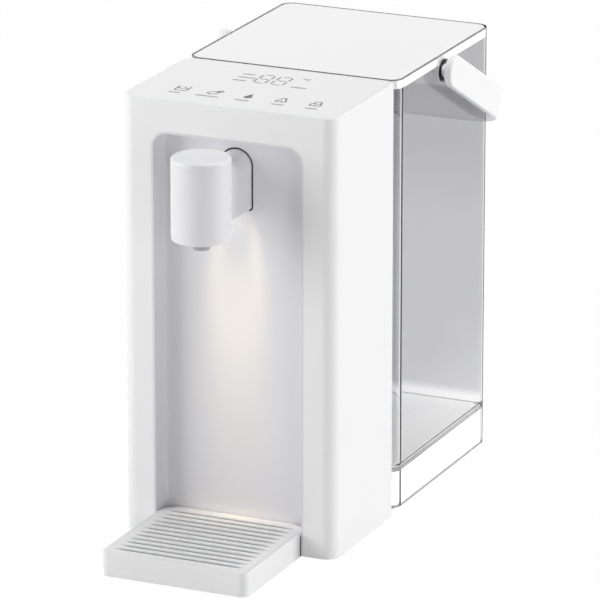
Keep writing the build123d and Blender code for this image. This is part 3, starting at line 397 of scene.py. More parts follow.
def print_ring(name, points, stroke, height):
    """Print of an outline's line only, its inside left bare."""
    piece = add_outline(name, points)
    bpy.ops.object.mode_set(mode="EDIT")
    bpy.ops.mesh.select_all(action="SELECT")
    bpy.ops.mesh.inset(thickness=stroke, use_even_offset=True, use_boundary=True)
    bpy.ops.mesh.delete(type="FACE")
    bpy.ops.object.mode_set(mode="OBJECT")
    return raise_print(piece, height)


def ribbon(points, stroke):
    """Outline of a line of even width along the points."""
    sides = ([], [])
    for index, point in enumerate(points):
        before = Vector(points[max(index - 1, 0)])
        after = Vector(points[min(index + 1, len(points) - 1)])
        along = (after - before).normalized()
        across = Vector((-along.y, along.x)) * stroke / 2
        sides[0].append(Vector(point) + across)
        sides[1].append(Vector(point) - across)
    return sides[0] + sides[1][::-1]


def arc(middle, radius, start, end, steps, squash=1.0):
    """Points on an arc, angles in degrees."""
    points = []
    for step in range(steps + 1):
        angle = math.radians(start + (end - start) * step / steps)
        across = radius * math.cos(angle)
        along = radius * squash * math.sin(angle)
        points.append((middle[0] + across, middle[1] + along))
    return points


def join_pieces(name, pieces):
    """Make one piece of several."""
    deselect_all()
    whole = pieces[0]
    for piece in pieces:
        piece.select_set(True)
    bpy.context.view_layer.objects.active = whole
    if len(pieces) > 1:
        bpy.ops.object.join()
    whole.name = name
    return whole


def settle(piece, ink):
    """Give a print its ink and let it ride on the housing."""
    piece.data.materials.clear()
    piece.data.materials.append(ink)
    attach(piece, "housing")


def symbol_x(sizes, column):
    """Sideways place of a touch symbol, columns counted from the left."""
    return sizes.symbol_shift + (column - len(SYMBOLS) // 2) * sizes.symbol_pitch


# Outlines of the symbols on a unit square, middle at the origin

def turned(points, angle):
    """Points turned about the origin, angle in degrees."""
    cosine = math.cos(math.radians(angle))
    sine = math.sin(math.radians(angle))
    return [(x * cosine - y * sine, x * sine + y * cosine) for x, y in points]


def rounded_box(middle, half_width, half_height, radius):
    """Outline of a box with round corners."""
    points = []
    for side_x, side_y, start in ((1, 1, 0), (-1, 1, 90), (-1, -1, 180), (1, -1, 270)):
        corner = (
            middle[0] + side_x * (half_width - radius),
            middle[1] + side_y * (half_height - radius),
        )
        points += arc(corner, radius, start, start + 90, 4)
    return points


def cup_line():
    """Open cup with upright sides and a round bottom."""
    left = arc((-0.20, -0.25), 0.20, 180, 270, 6)
    right = arc((0.17, -0.25), 0.20, 270, 360, 6)
    return [(-0.40, 0.52), (-0.40, 0.10)] + left + right + [(0.37, 0.10), (0.37, 0.50)]


def wave_line():
    """Wave across the cup."""
    points = []
    for step in range(13):
        x = -0.36 + 0.69 * step / 12
        points.append((x, 0.03 + 0.07 * math.sin(x * 2 * math.pi / 0.46)))
    return points


def drop_outline():
    """Drop with its tip at the far end."""
    bulb = arc((0.02, -0.17), 0.265, -215, 35, 24)
    return bulb + [(0.16, 0.20), (0.09, 0.38), (0.05, 0.53), (-0.04, 0.38), (-0.12, 0.20)]


def heat_outline():
    """Rounded triangle."""
    top = arc((0.02, 0.40), 0.14, 155, 25, 6)
    right = arc((0.22, -0.24), 0.17, 20, -90, 6)
    left = arc((-0.19, -0.24), 0.17, -90, -200, 6)
    return top + right + left


def placed(points, middle, size):
    """Unit outline scaled and moved onto the panel."""
    return [(middle[0] + x * size, middle[1] + y * size) for x, y in points]


# Shader helpers

def rgba(tone):
    """A tone as an opaque colour."""
    return (*tone, 1.0)


def set_inputs(node, inputs):
    """Put constants on a node's inputs; an underscore stands for a space in an input's name."""
    for key, value in inputs.items():
        node.inputs[key.replace("_", " ")].default_value = value
    return node


def add_node(tree, kind, **inputs):
    """New node with constants on its inputs."""
    return set_inputs(tree.nodes.new(kind), inputs)


def add_group(tree, name, builder, **inputs):
    """New node of a shared group, which is built on its first use."""
    node = tree.nodes.new("ShaderNodeGroup")
    node.node_tree = bpy.data.node_groups.get(name) or builder()
    return set_inputs(node, inputs)


def new_group(name, inputs, outputs):
    """Empty shader group with named sockets: (name, socket type, default)."""
    tree = bpy.data.node_groups.new(name, "ShaderNodeTree")
    for label, kind, default in inputs:
        socket = tree.interface.new_socket(name=label, in_out="INPUT", socket_type=kind)
        socket.default_value = default
    for label, kind in outputs:
        tree.interface.new_socket(name=label, in_out="OUTPUT", socket_type=kind)
    entry = tree.nodes.new("NodeGroupInput")
    leave = tree.nodes.new("NodeGroupOutput")
    return tree, entry, leave


def math_node(tree, operation, first, second):
    """Result of a sum on two values, each a number or a socket."""
    node = tree.nodes.new("ShaderNodeMath")
    node.operation = operation
    for socket, value in zip(node.inputs, (first, second)):
        if isinstance(value, (int, float)):
            socket.default_value = value
        else:
            tree.links.new(value, socket)
    return node.outputs[0]


def ramp(tree, value, low, high):
    """Mask that goes smoothly from nought at the first bound to one at the second."""
    node = add_node(tree, "ShaderNodeMapRange", From_Min=low, From_Max=high)
    node.interpolation_type = "SMOOTHSTEP"
    tree.links.new(value, node.inputs["Value"])
    return node.outputs[0]


def blend(tree, mask, first, second):
    """Colour that goes from the first to the second with the mask."""
    node = tree.nodes.new("ShaderNodeMix")
    node.data_type = "RGBA"
    tree.links.new(mask, node.inputs["Factor"])
    tree.links.new(first, node.inputs[6])
    tree.links.new(second, node.inputs[7])
    return node.outputs[2]


def mix_shaders(tree, mask, first, second):
    """Shader that goes from the first to the second with the mask."""
    node = tree.nodes.new("ShaderNodeMixShader")
    for socket, value in zip(node.inputs, (mask, first, second)):
        tree.links.new(value, socket)
    return node.outputs[0]


def scaled(tree, tone, level):
    """Tone made lighter or darker by a level."""
    node = tree.nodes.new("ShaderNodeVectorMath")
    node.operation = "SCALE"
    tree.links.new(tone, node.inputs[0])
    tree.links.new(level, node.inputs["Scale"])
    return node.outputs[0]


def object_place(tree):
    """The place on the object."""
    return tree.nodes.new("ShaderNodeTexCoord").outputs["Object"]


def place_axes(tree):
    """The place on the object as X, Y and Z."""
    split = tree.nodes.new("ShaderNodeSeparateXYZ")
    tree.links.new(object_place(tree), split.inputs[0])
    return split.outputs["X"], split.outputs["Y"], split.outputs["Z"]


def noise(tree, place, **inputs):
    """Noise over a place."""
    node = add_node(tree, "ShaderNodeTexNoise", **inputs)
    tree.links.new(place, node.inputs["Vector"])
    return node


def groove_shade_group():
    """Painted shade in the grille's grooves and a painted highlight on its top inside the rim."""
    tree, entry, leave = new_group(
        "Groove Shade",
        (
            ("Tone", "NodeSocketColor", (0.9, 0.9, 0.9, 1.0)),
            ("Crest", "NodeSocketColor", (0.95, 0.95, 0.95, 1.0)),
            ("Shade", "NodeSocketColor", (0.5, 0.5, 0.5, 1.0)),
        ),
        (("Color", "NodeSocketColor"),),
    )
    x, y, z = place_axes(tree)
    side = math_node(tree, "ABSOLUTE", x, 0.0)
    inside = math_node(tree, "MULTIPLY", ramp(tree, side, *GROOVE_SIDES), ramp(tree, y, *GROOVE_FRONT))
    # Painted highlight: the grille's top inside its rim lighter than its edges
    tone = blend(tree, inside, entry.outputs["Tone"], entry.outputs["Crest"])
    # Painted shade, deepening down into the grooves
    mask = math_node(tree, "MULTIPLY", inside, ramp(tree, z, *GROOVE_DEPTH))
    tree.links.new(blend(tree, mask, tone, entry.outputs["Shade"]), leave.inputs["Color"])
    return tree


def root_shade_group():
    """Shade in the gap where a piece enters the housing, on its flanks from a given width outwards."""
    tree, entry, leave = new_group(
        "Root Shade",
        (
            ("Tone", "NodeSocketColor", (0.9, 0.9, 0.9, 1.0)),
            ("Shade", "NodeSocketColor", (0.1, 0.1, 0.1, 1.0)),
            ("Wall", "NodeSocketFloat", 0.0),
            ("Flank", "NodeSocketFloat", 0.0),
        ),
        (("Color", "NodeSocketColor"),),
    )
    x, y, _ = place_axes(tree)
    depth = math_node(tree, "SUBTRACT", y, entry.outputs["Wall"])
    side = math_node(tree, "ABSOLUTE", x, 0.0)
    width = math_node(tree, "SUBTRACT", side, entry.outputs["Flank"])
    mask = math_node(tree, "MULTIPLY", ramp(tree, depth, *ROOT_DEPTH), ramp(tree, width, *ROOT_FLANK))
    tone = blend(tree, mask, entry.outputs["Tone"], entry.outputs["Shade"])
    tree.links.new(tone, leave.inputs["Color"])
    return tree


def moulded_grain_group():
    """Moulded plastic: faint cloudiness, fine spark grain and uneven gloss."""
    tree, entry, leave = new_group(
        "Moulded Grain",
        (
            ("Tone", "NodeSocketColor", (0.9, 0.9, 0.9, 1.0)),
            ("Cloud", "NodeSocketFloat", 0.02),
            ("Grain Size", "NodeSocketFloat", GRAIN_SCALE),
            ("Gloss Low", "NodeSocketFloat", 0.32),
            ("Gloss High", "NodeSocketFloat", 0.42),
        ),
        (("Color", "NodeSocketColor"), ("Roughness", "NodeSocketFloat"), ("Height", "NodeSocketFloat")),
    )
    place = object_place(tree)
    cloud = noise(tree, place, Scale=CLOUD_SCALE, Detail=3.0)
    grain = noise(tree, place, Detail=2.0)
    tree.links.new(entry.outputs["Grain Size"], grain.inputs["Scale"])
    swing = math_node(tree, "SUBTRACT", cloud.outputs["Fac"], 0.5)
    swing = math_node(tree, "MULTIPLY", swing, entry.outputs["Cloud"])
    level = math_node(tree, "ADD", swing, 1.0)
    tree.links.new(scaled(tree, entry.outputs["Tone"], level), leave.inputs["Color"])
    gloss = add_node(tree, "ShaderNodeMapRange", From_Min=CLOUD_SPAN[0], From_Max=CLOUD_SPAN[1])
    tree.links.new(cloud.outputs["Fac"], gloss.inputs["Value"])
    tree.links.new(entry.outputs["Gloss Low"], gloss.inputs["To Min"])
    tree.links.new(entry.outputs["Gloss High"], gloss.inputs["To Max"])
    tree.links.new(gloss.outputs[0], leave.inputs["Roughness"])
    tree.links.new(grain.outputs["Fac"], leave.inputs["Height"])
    return tree


def clear_tint_and_shade_group():
    """Clear moulding with painted shade: grey on the sides, darker on the rear wall and higher up, both
    cleared at the floor as painted light; painted dark corners and rims; and a mask of the rear corners.
    """
    tree, entry, leave = new_group(
        "Clear Tint",
        (
            ("Clear", "NodeSocketColor", (0.96, 0.96, 0.965, 1.0)),
            ("Haze", "NodeSocketColor", (0.8, 0.8, 0.815, 1.0)),
            ("Smoke", "NodeSocketColor", (0.55, 0.55, 0.565, 1.0)),
            ("High Smoke", "NodeSocketColor", (0.48, 0.48, 0.49, 1.0)),
            ("Deep", "NodeSocketColor", (0.3, 0.3, 0.31, 1.0)),
        ),
        (("Color", "NodeSocketColor"), ("Roughness", "NodeSocketFloat"), ("Edge", "NodeSocketFloat")),
    )
    x, y, z = place_axes(tree)
    # Walls: painted shade, grey on the sides and darker on the rear, both cleared at the floor as painted
    # light
    hazy = math_node(tree, "MULTIPLY", ramp(tree, z, *SIDE_SHADE_FOOT), ramp(tree, z, *SIDE_SHADE_TOP))
    side_shade = blend(tree, hazy, entry.outputs["Clear"], entry.outputs["Haze"])
    high = ramp(tree, z, *REAR_SHADE_HIGH)
    rear_shade = blend(tree, high, entry.outputs["Smoke"], entry.outputs["High Smoke"])
    rear = math_node(tree, "MULTIPLY", ramp(tree, y, *REAR_WALL), ramp(tree, z, *REAR_SHADE_FOOT))
    wall = blend(tree, rear, side_shade, rear_shade)
    # Distance from the nearest upright edge
    side = math_node(tree, "ABSOLUTE", x, 0.0)
    end = math_node(tree, "SUBTRACT", y, (TANK_HIGH.y + TANK_LOW.y) / 2)
    end = math_node(tree, "ABSOLUTE", end, 0.0)
    near_side = math_node(tree, "SUBTRACT", SHELL_HIGH.x, side)
    near_end = math_node(tree, "SUBTRACT", (TANK_HIGH.y - TANK_LOW.y) / 2, end)
    from_edge = math_node(tree, "MAXIMUM", near_side, near_end)
    # Painted shade: dark in the upright corners and along the rims, where clear walls look dark edge on
    spread = ramp(tree, from_edge, *CORNER_SPREAD)
    corner = math_node(tree, "MULTIPLY", spread, ramp(tree, z, *CORNER_FOOT))
    corner = math_node(tree, "MAXIMUM", corner, ramp(tree, from_edge, *CORNER_CORE))
    rim = math_node(tree, "MAXIMUM", ramp(tree, z, *TOP_RIM), ramp(tree, z, *BOTTOM_RIM))
    edge_shade = math_node(tree, "MAXIMUM", corner, rim)
    tree.links.new(blend(tree, edge_shade, wall, entry.outputs["Deep"]), leave.inputs["Color"])
    # Mask of the painted dark line on the rear corners
    line = ramp(tree, from_edge, *CORNER_LINE)
    line = math_node(tree, "MULTIPLY", line, ramp(tree, y, *REAR_CORNERS))
    tree.links.new(line, leave.inputs["Edge"])
    wear = noise(tree, object_place(tree), Scale=WEAR_SCALE, Detail=4.0)
    rough = math_node(tree, "MULTIPLY", wear.outputs["Fac"], WEAR_ROUGHNESS)
    tree.links.new(rough, leave.inputs["Roughness"])
    return tree


def drawn_metal_group():
    """Drawn metal: fine lines along its length and uneven gloss."""
    tree, entry, leave = new_group(
        "Drawn Metal",
        (
            ("Tone", "NodeSocketColor", (0.62, 0.62, 0.64, 1.0)),
            ("Lines", "NodeSocketFloat", DRAWN_SCALE),
        ),
        (("Color", "NodeSocketColor"), ("Roughness", "NodeSocketFloat"), ("Height", "NodeSocketFloat")),
    )
    stretch = add_node(tree, "ShaderNodeMapping", Scale=DRAWN_STRETCH)
    tree.links.new(object_place(tree), stretch.inputs["Vector"])
    lines = noise(tree, stretch.outputs[0], Detail=3.0)
    tree.links.new(entry.outputs["Lines"], lines.inputs["Scale"])
    level = math_node(tree, "MULTIPLY", lines.outputs["Fac"], DRAWN_SWING)
    level = math_node(tree, "ADD", level, DRAWN_LEVEL)
    tree.links.new(scaled(tree, entry.outputs["Tone"], level), leave.inputs["Color"])
    rough = math_node(tree, "MULTIPLY", lines.outputs["Fac"], DRAWN_ROUGHNESS_SWING)
    rough = math_node(tree, "ADD", rough, DRAWN_ROUGHNESS)
    tree.links.new(rough, leave.inputs["Roughness"])
    tree.links.new(lines.outputs["Fac"], leave.inputs["Height"])
    return tree


def new_material(name):
    """Material with its Principled shader, ready for links."""
    material = bpy.data.materials.new(name)
    material.use_nodes = True
    tree = material.node_tree
    return material, tree, tree.nodes["Principled BSDF"]


def set_surface(tree, surface):
    """Use a shader as the material's surface."""
    tree.links.new(surface, tree.nodes["Material Output"].inputs["Surface"])


def link_finish(tree, body, shader):
    """Let a group set the shader's colour and roughness."""
    tree.links.new(body.outputs["Color"], shader.inputs["Base Color"])
    tree.links.new(body.outputs["Roughness"], shader.inputs["Roughness"])


def link_height(tree, body, shader, strength):
    """Let a group's height raise the shader's surface."""
    bump = add_node(tree, "ShaderNodeBump", Strength=strength, Distance=GRAIN_DEPTH)
    tree.links.new(body.outputs["Height"], bump.inputs["Height"])
    tree.links.new(bump.outputs["Normal"], shader.inputs["Normal"])


def plastic(name, tone, gloss, cloud=0.02, grain=GRAIN_SCALE, bump=0.05, ior=1.47):
    """Moulded plastic in one tone, gloss as lowest and highest roughness."""
    material, tree, shader = new_material(name)
    shader.inputs["IOR"].default_value = ior
    body = add_group(
        tree, "Moulded Grain", moulded_grain_group,
        Tone=rgba(tone), Cloud=cloud, Grain_Size=grain, Gloss_Low=gloss[0], Gloss_High=gloss[1],
    )
    link_finish(tree, body, shader)
    link_height(tree, body, shader, bump)
    return material


def shaded(material, name, builder, **inputs):
    """Let a shared shade group feed the tone of a plastic."""
    tree = material.node_tree
    body = next(node for node in tree.nodes if node.type == "GROUP")
    shade = add_group(tree, name, builder, **inputs)
    tree.links.new(shade.outputs["Color"], body.inputs["Tone"])


def metal(name, tone):
    """Drawn metal in one tone."""
    material, tree, shader = new_material(name)
    shader.inputs["Metallic"].default_value = 1.0
    body = add_group(tree, "Drawn Metal", drawn_metal_group, Tone=rgba(tone))
    link_finish(tree, body, shader)
    link_height(tree, body, shader, DRAWN_BUMP)
    return material


def pass_light(tree, surface, share):
    """Let a share of the lamps' light through each face of a clear or thin piece."""
    path = tree.nodes.new("ShaderNodeLightPath")
    through = add_node(tree, "ShaderNodeBsdfTransparent", Color=(share, share, share, 1.0))
    set_surface(tree, mix_shaders(tree, path.outputs["Is Shadow Ray"], surface, through.outputs[0]))


def clear_plastic(name, colours):
    """Clear moulded plastic with painted shade on its rear wall and a painted dark line on its rear
    corners.
    """
    material, tree, shader = new_material(name)
    shader.inputs["IOR"].default_value = CLEAR_IOR
    shader.inputs["Transmission Weight"].default_value = 1.0
    # The tank's own tint near the floor, with painted shade on its sides and rear wall and painted dark
    # corners and rims
    body = add_group(
        tree, "Clear Tint", clear_tint_and_shade_group,
        Clear=rgba(colours.tank), Haze=rgba(colours.side_shade), Smoke=rgba(colours.rear_shade),
        High_Smoke=rgba(HIGH_REAR_SHADE_SHARE * part for part in colours.rear_shade), Deep=rgba(EDGE_SHADE),
    )
    link_finish(tree, body, shader)
    # Painted dark line on the rear corners where they turn edge on, standing in for the dark edges of the
    # clear walls
    dark = add_node(tree, "ShaderNodeBsdfTransparent", Color=rgba(LINE_SHADE))
    slant = tree.nodes.new("ShaderNodeLayerWeight")
    line = ramp(tree, slant.outputs["Facing"], *LINE_SLANT)
    line = math_node(tree, "MULTIPLY", body.outputs["Edge"], line)
    pass_light(tree, mix_shaders(tree, line, shader.outputs[0], dark.outputs[0]), TANK_PASS)
    return material


def lit_lens(name, glow):
    """Frosted lens lit from behind."""
    material = plastic(name, (0.95, 0.93, 0.88), (0.25, 0.35))
    shader = material.node_tree.nodes["Principled BSDF"]
    shader.inputs["Emission Color"].default_value = rgba(glow)
    shader.inputs["Emission Strength"].default_value = LENS_STRENGTH
    return material


def finish_nodes(materials):
    """Put each finish on the solids that carry it."""
    for node, material in materials.items():
        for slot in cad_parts[node].material_slots:
            slot.material = material


class DISPENSER_OT_housing_finish(bpy.types.Operator):
    """White shell, touch panel, alcove liner, base and rear panel"""

    bl_idname = "dispenser.housing_finish"
    bl_label = "Housing Finish"

    def execute(self, context):
        colours = context.scene.dispenser_colours
        shell = plastic("shell_white", colours.shell, (0.34, 0.44))
        panel = plastic("panel_white", SOFT_WHITE, (0.22, 0.30), cloud=0.01)
        alcove = plastic("alcove_grey", colours.alcove, (0.42, 0.52), cloud=0.03, bump=0.08)
        base = plastic("base_white", (0.84, 0.84, 0.845), (0.45, 0.55), cloud=0.03, bump=0.1)
        # The platform's white is lighter than the base's: painted light on the platform seen through the
        # tank's shaded floor
        platform = plastic("platform_white", (0.96, 0.96, 0.96), (0.45, 0.55), bump=0.1)
        finish_nodes(
            {
                "front_shell": shell,
                "control_panel": panel,
                "alcove_panel": alcove,
                "base_plate": base,
                "rear_panel": base,
                "tank_platform": platform,
                "inlet_socket": base,
            }
        )
        return {"FINISHED"}


class DISPENSER_OT_spout_finish(bpy.types.Operator):
    """Spout head and arm, nozzle and lens"""

    bl_idname = "dispenser.spout_finish"
    bl_label = "Spout Finish"

    def execute(self, context):
        colours = context.scene.dispenser_colours
        spout = plastic("spout_white", (0.83, 0.83, 0.845), (0.18, 0.26), ior=1.6)
        # Arm in a lighter white as painted light, with painted shade where it enters the alcove
        arm = plastic("arm_white", ARM_LIT_WHITE, (0.26, 0.36))
        shaded(
            arm, "Root Shade", root_shade_group,
            Tone=rgba(ARM_LIT_WHITE), Shade=rgba(ARM_SHADE), Wall=ARM_WALL,
        )
        nozzle = plastic("nozzle_grey", (0.42, 0.42, 0.44), (0.25, 0.35))
        lens = lit_lens("lens_clear", colours.glow)
        finish_nodes(
            {
                "spout_head": spout,
                "spout_arm": arm,
                "spout_bottom": nozzle,
                "nozzle": nozzle,
                "light_lens": lens,
            }
        )
        return {"FINISHED"}


class DISPENSER_OT_tray_finish(bpy.types.Operator):
    """Drip tray and grille"""

    bl_idname = "dispenser.tray_finish"
    bl_label = "Tray Finish"

    def execute(self, context):
        tray = plastic("tray_white", SOFT_WHITE, (0.36, 0.46), bump=0.06)
        shaded(
            tray, "Root Shade", root_shade_group,
            Tone=rgba(SOFT_WHITE), Shade=rgba(TRAY_SHADE), Wall=TRAY_WALL, Flank=TRAY_FLANK,
        )
        grille = plastic("grille_white", SOFT_WHITE, (0.36, 0.46), bump=0.06)
        # Painted highlight on the grille's top and painted shade in its grooves
        shaded(
            grille, "Groove Shade", groove_shade_group,
            Tone=rgba(SOFT_WHITE), Crest=rgba(GRILLE_HIGHLIGHT), Shade=rgba(GRILLE_SHADE),
        )
        finish_nodes({"drip_tray": tray, "drip_grille": grille})
        return {"FINISHED"}


class DISPENSER_OT_tank_finish(bpy.types.Operator):
    """Clear tank, its lid, handle, pins and valve"""

    bl_idname = "dispenser.tank_finish"
    bl_label = "Tank Finish"

    def execute(self, context):
        tank = clear_plastic("tank_clear", context.scene.dispenser_colours)
        lid = plastic("lid_white", (0.95, 0.95, 0.955), (0.30, 0.38))
        pass_light(lid.node_tree, lid.node_tree.nodes["Principled BSDF"].outputs[0], LID_PASS)
        handle = plastic("handle_white", (0.92, 0.92, 0.925), (0.30, 0.38))
        valve = plastic("valve_white", (0.82, 0.82, 0.82), (0.40, 0.50))
        seal = plastic("seal_rubber", (0.70, 0.70, 0.70), (0.55, 0.70), cloud=0.05, bump=0.15)
        spring = metal("spring_steel", (0.66, 0.66, 0.67))
        finish_nodes(
            {
                "water_tank": tank,
                "tank_lid": lid,
                "tank_handle": handle,
                "handle_pins": handle,
                "tank_valve": valve,
                "valve_plunger": valve,
                "valve_seal": seal,
                "inlet_seal": seal,
                "valve_spring": spring,
            }
        )
        return {"FINISHED"}


class DISPENSER_OT_works_finish(bpy.types.Operator):
    """Pump, heater, hoses, boards, screws, feet and cord gland"""

    bl_idname = "dispenser.works_finish"
    bl_label = "Works Finish"

    def execute(self, context):
        black = plastic("works_black", (0.055, 0.055, 0.06), (0.45, 0.60), cloud=0.2, bump=0.1)
        white = plastic("works_white", (0.80, 0.80, 0.79), (0.35, 0.45))
        rubber = plastic("foot_rubber", (0.07, 0.07, 0.072), (0.65, 0.80), cloud=0.3, bump=0.2)
        hose = plastic("hose_silicone", (0.80, 0.80, 0.78), (0.35, 0.50), cloud=0.06)
        steel = metal("works_steel", (0.62, 0.62, 0.64))
        board = plastic("board_green", (0.03, 0.17, 0.07), (0.25, 0.45), cloud=0.5, grain=600.0)
        lamp = plastic("lamp_red", (0.45, 0.05, 0.035), (0.15, 0.25), cloud=0.1)
        pad = plastic("pad_grey", (0.12, 0.12, 0.125), (0.80, 0.95), cloud=0.4, grain=900.0, bump=0.4)
        cable = plastic("cable_grey", (0.28, 0.28, 0.31), (0.40, 0.55), cloud=0.1)
        finish_nodes(
            {
                "pump_body": black, "pump_cover": black, "pump_cradle": black, "heater_caps": black,
                "heater_bracket": black, "cord_gland": black, "pump_impeller": white, "rubber_feet": rubber,
                "inlet_hose": hose, "pump_hose": hose, "outlet_hose": hose, "pump_motor": steel,
                "heater_tube": steel, "thermostat": steel, "rear_screws": steel, "base_screws": steel,
                "control_board": board, "power_board": board, "light_board": board,
                "display_module": lamp, "touch_pads": pad, "board_cable": cable,
            }
        )
        return {"FINISHED"}


class DISPENSER_OT_touch_symbols(bpy.types.Operator):
    """Five printed touch symbols near the panel's front edge"""

    bl_idname = "dispenser.touch_symbols"
    bl_label = "Touch Symbols"

    def execute(self, context):
        sizes = context.scene.dispenser_marks
        ink = plastic("ink_grey", context.scene.dispenser_colours.ink, (0.40, 0.50), cloud=0.1)
        row = FRONT_Y + sizes.symbol_row
        for column, (kind, _, _) in enumerate(SYMBOLS):
            pieces = self.symbol(kind, (symbol_x(sizes, column), row), sizes)
            settle(join_pieces("symbol_" + kind, pieces), ink)
        return {"FINISHED"}

    def symbol(self, kind, middle, sizes):
        """Printed parts of one symbol."""
        size = sizes.symbol_size
        stroke = sizes.stroke
        height = sizes.ink_height

        def solid(points):
            return print_solid("symbol", placed(points, middle, size), height)

        def ring(points):
            return print_ring("symbol", placed(points, middle, size), stroke, height)

        def line(points):
            return print_solid("symbol", ribbon(placed(points, middle, size), stroke), height)

        if kind == "cup":
            return [line(cup_line()), line(wave_line()), line([(0.03, 0.24), (0.03, 0.46)])]
        if kind == "bottle":
            body = turned(rounded_box((0.0, -0.18), 0.27, 0.36, 0.14), BOTTLE_LEAN)
            cap = turned(rounded_box((0.0, 0.36), 0.17, 0.17, 0.05), BOTTLE_LEAN)
            return [ring(body), ring(cap)]
        if kind == "drop":
            return [solid(drop_outline())]
        if kind == "heat":
            return [ring(heat_outline()), line([(0.06, -0.38), (0.10, -0.16)])]
        if kind == "lock":
            case = rounded_box((0.06, -0.13), 0.38, 0.27, 0.13)
            shackle = [(-0.15, 0.14)] + arc((0.06, 0.35), 0.21, 180, 0, 12) + [(0.27, 0.14)]
            return [ring(case), line(shackle), line([(0.06, -0.22), (0.06, -0.06)])]
        raise ValueError(f"no symbol named {kind}")


class DISPENSER_OT_readout_digits(bpy.types.Operator):
    """Two seven-bar digits of the readout, with a degree ring and unit arc beside them"""

    bl_idname = "dispenser.readout_digits"
    bl_label = "Readout Digits"

    def execute(self, context):
        sizes = context.scene.dispenser_marks
        ink = plastic("readout_grey", context.scene.dispenser_colours.ink, (0.35, 0.45), cloud=0.1)
        row = FRONT_Y + sizes.digit_row
        for number, side in enumerate((-0.5, 0.5), start=1):
            middle = (sizes.digit_shift + side * sizes.digit_pitch, row)
            bars = [print_solid("digit", points, sizes.ink_height) for points in self.bars(middle, sizes)]
            settle(join_pieces(f"readout_digit_{number}", bars), ink)
        ring_at = (sizes.digit_shift + DEGREE_OFFSET[0], row + DEGREE_OFFSET[1])
        ring = arc(ring_at, DEGREE_RADIUS, 0, 345, 23)
        ring = print_ring("degree", ring, DEGREE_STROKE, sizes.ink_height)
        unit_at = (sizes.digit_shift + UNIT_OFFSET[0], row + UNIT_OFFSET[1])
        unit = ribbon(arc(unit_at, UNIT_RADIUS, 50, 310, 16, UNIT_STRETCH), UNIT_STROKE)
        unit = print_solid("unit", unit, sizes.ink_height)
        settle(join_pieces("readout_degree", [ring, unit]), ink)
        return {"FINISHED"}

    def bars(self, middle, sizes):
        """Outlines of the seven bars of one digit."""
        half_width = sizes.digit_width / 2
        half_height = sizes.digit_height / 2
        gap = sizes.digit_stroke * BAR_GAP_SHARE
        for level in (-1, 0, 1):
            y = middle[1] + level * half_height
            yield self.bar((middle[0] - half_width + gap, y), (middle[0] + half_width - gap, y), sizes)
        for x in (middle[0] - half_width, middle[0] + half_width):
            for low, high in ((-half_height, 0.0), (0.0, half_height)):
                yield self.bar((x, middle[1] + low + gap), (x, middle[1] + high - gap), sizes)

    def bar(self, start, end, sizes):
        """One bar with pointed ends."""
        start = Vector(start)
        end = Vector(end)
        along = (end - start).normalized() * sizes.digit_stroke / 2
        across = Vector((-along.y, along.x))
        return [
            start,
            start + along - across,
            end - along - across,
            end,
            end - along + across,
            start + along + across,
        ]


class DISPENSER_OT_caption_bars(bpy.types.Operator):
    """Plain bars under the touch symbols and round the readout"""

    bl_idname = "dispenser.caption_bars"
    bl_label = "Caption Bars"

    def execute(self, context):
        sizes = context.scene.dispenser_marks
        ink = plastic("caption_grey", context.scene.dispenser_colours.faint_ink, (0.35, 0.45), cloud=0.1)
        bars = []
        for column, (_, offset, length) in enumerate(SYMBOLS):
            place = (symbol_x(sizes, column) + offset * MM, FRONT_Y + sizes.caption_row)
            bars.append(self.pill(place, length * MM, sizes))
        for x, y, length in READOUT_BARS:
            place = (sizes.digit_shift + x * MM, FRONT_Y + sizes.digit_row + y * MM)
            bars.append(self.pill(place, length * MM, sizes))
        pieces = [print_solid("caption", points, sizes.ink_height) for points in bars]
        settle(join_pieces("caption_bars", pieces), ink)
        return {"FINISHED"}

    def pill(self, place, length, sizes):
        """Outline of a bar with round ends."""
        radius = sizes.caption_height / 2
        reach = length / 2 - radius
        right = arc((place[0] + reach, place[1]), radius, -90, 90, 8)
        left = arc((place[0] - reach, place[1]), radius, 90, 270, 8)
        return right + left


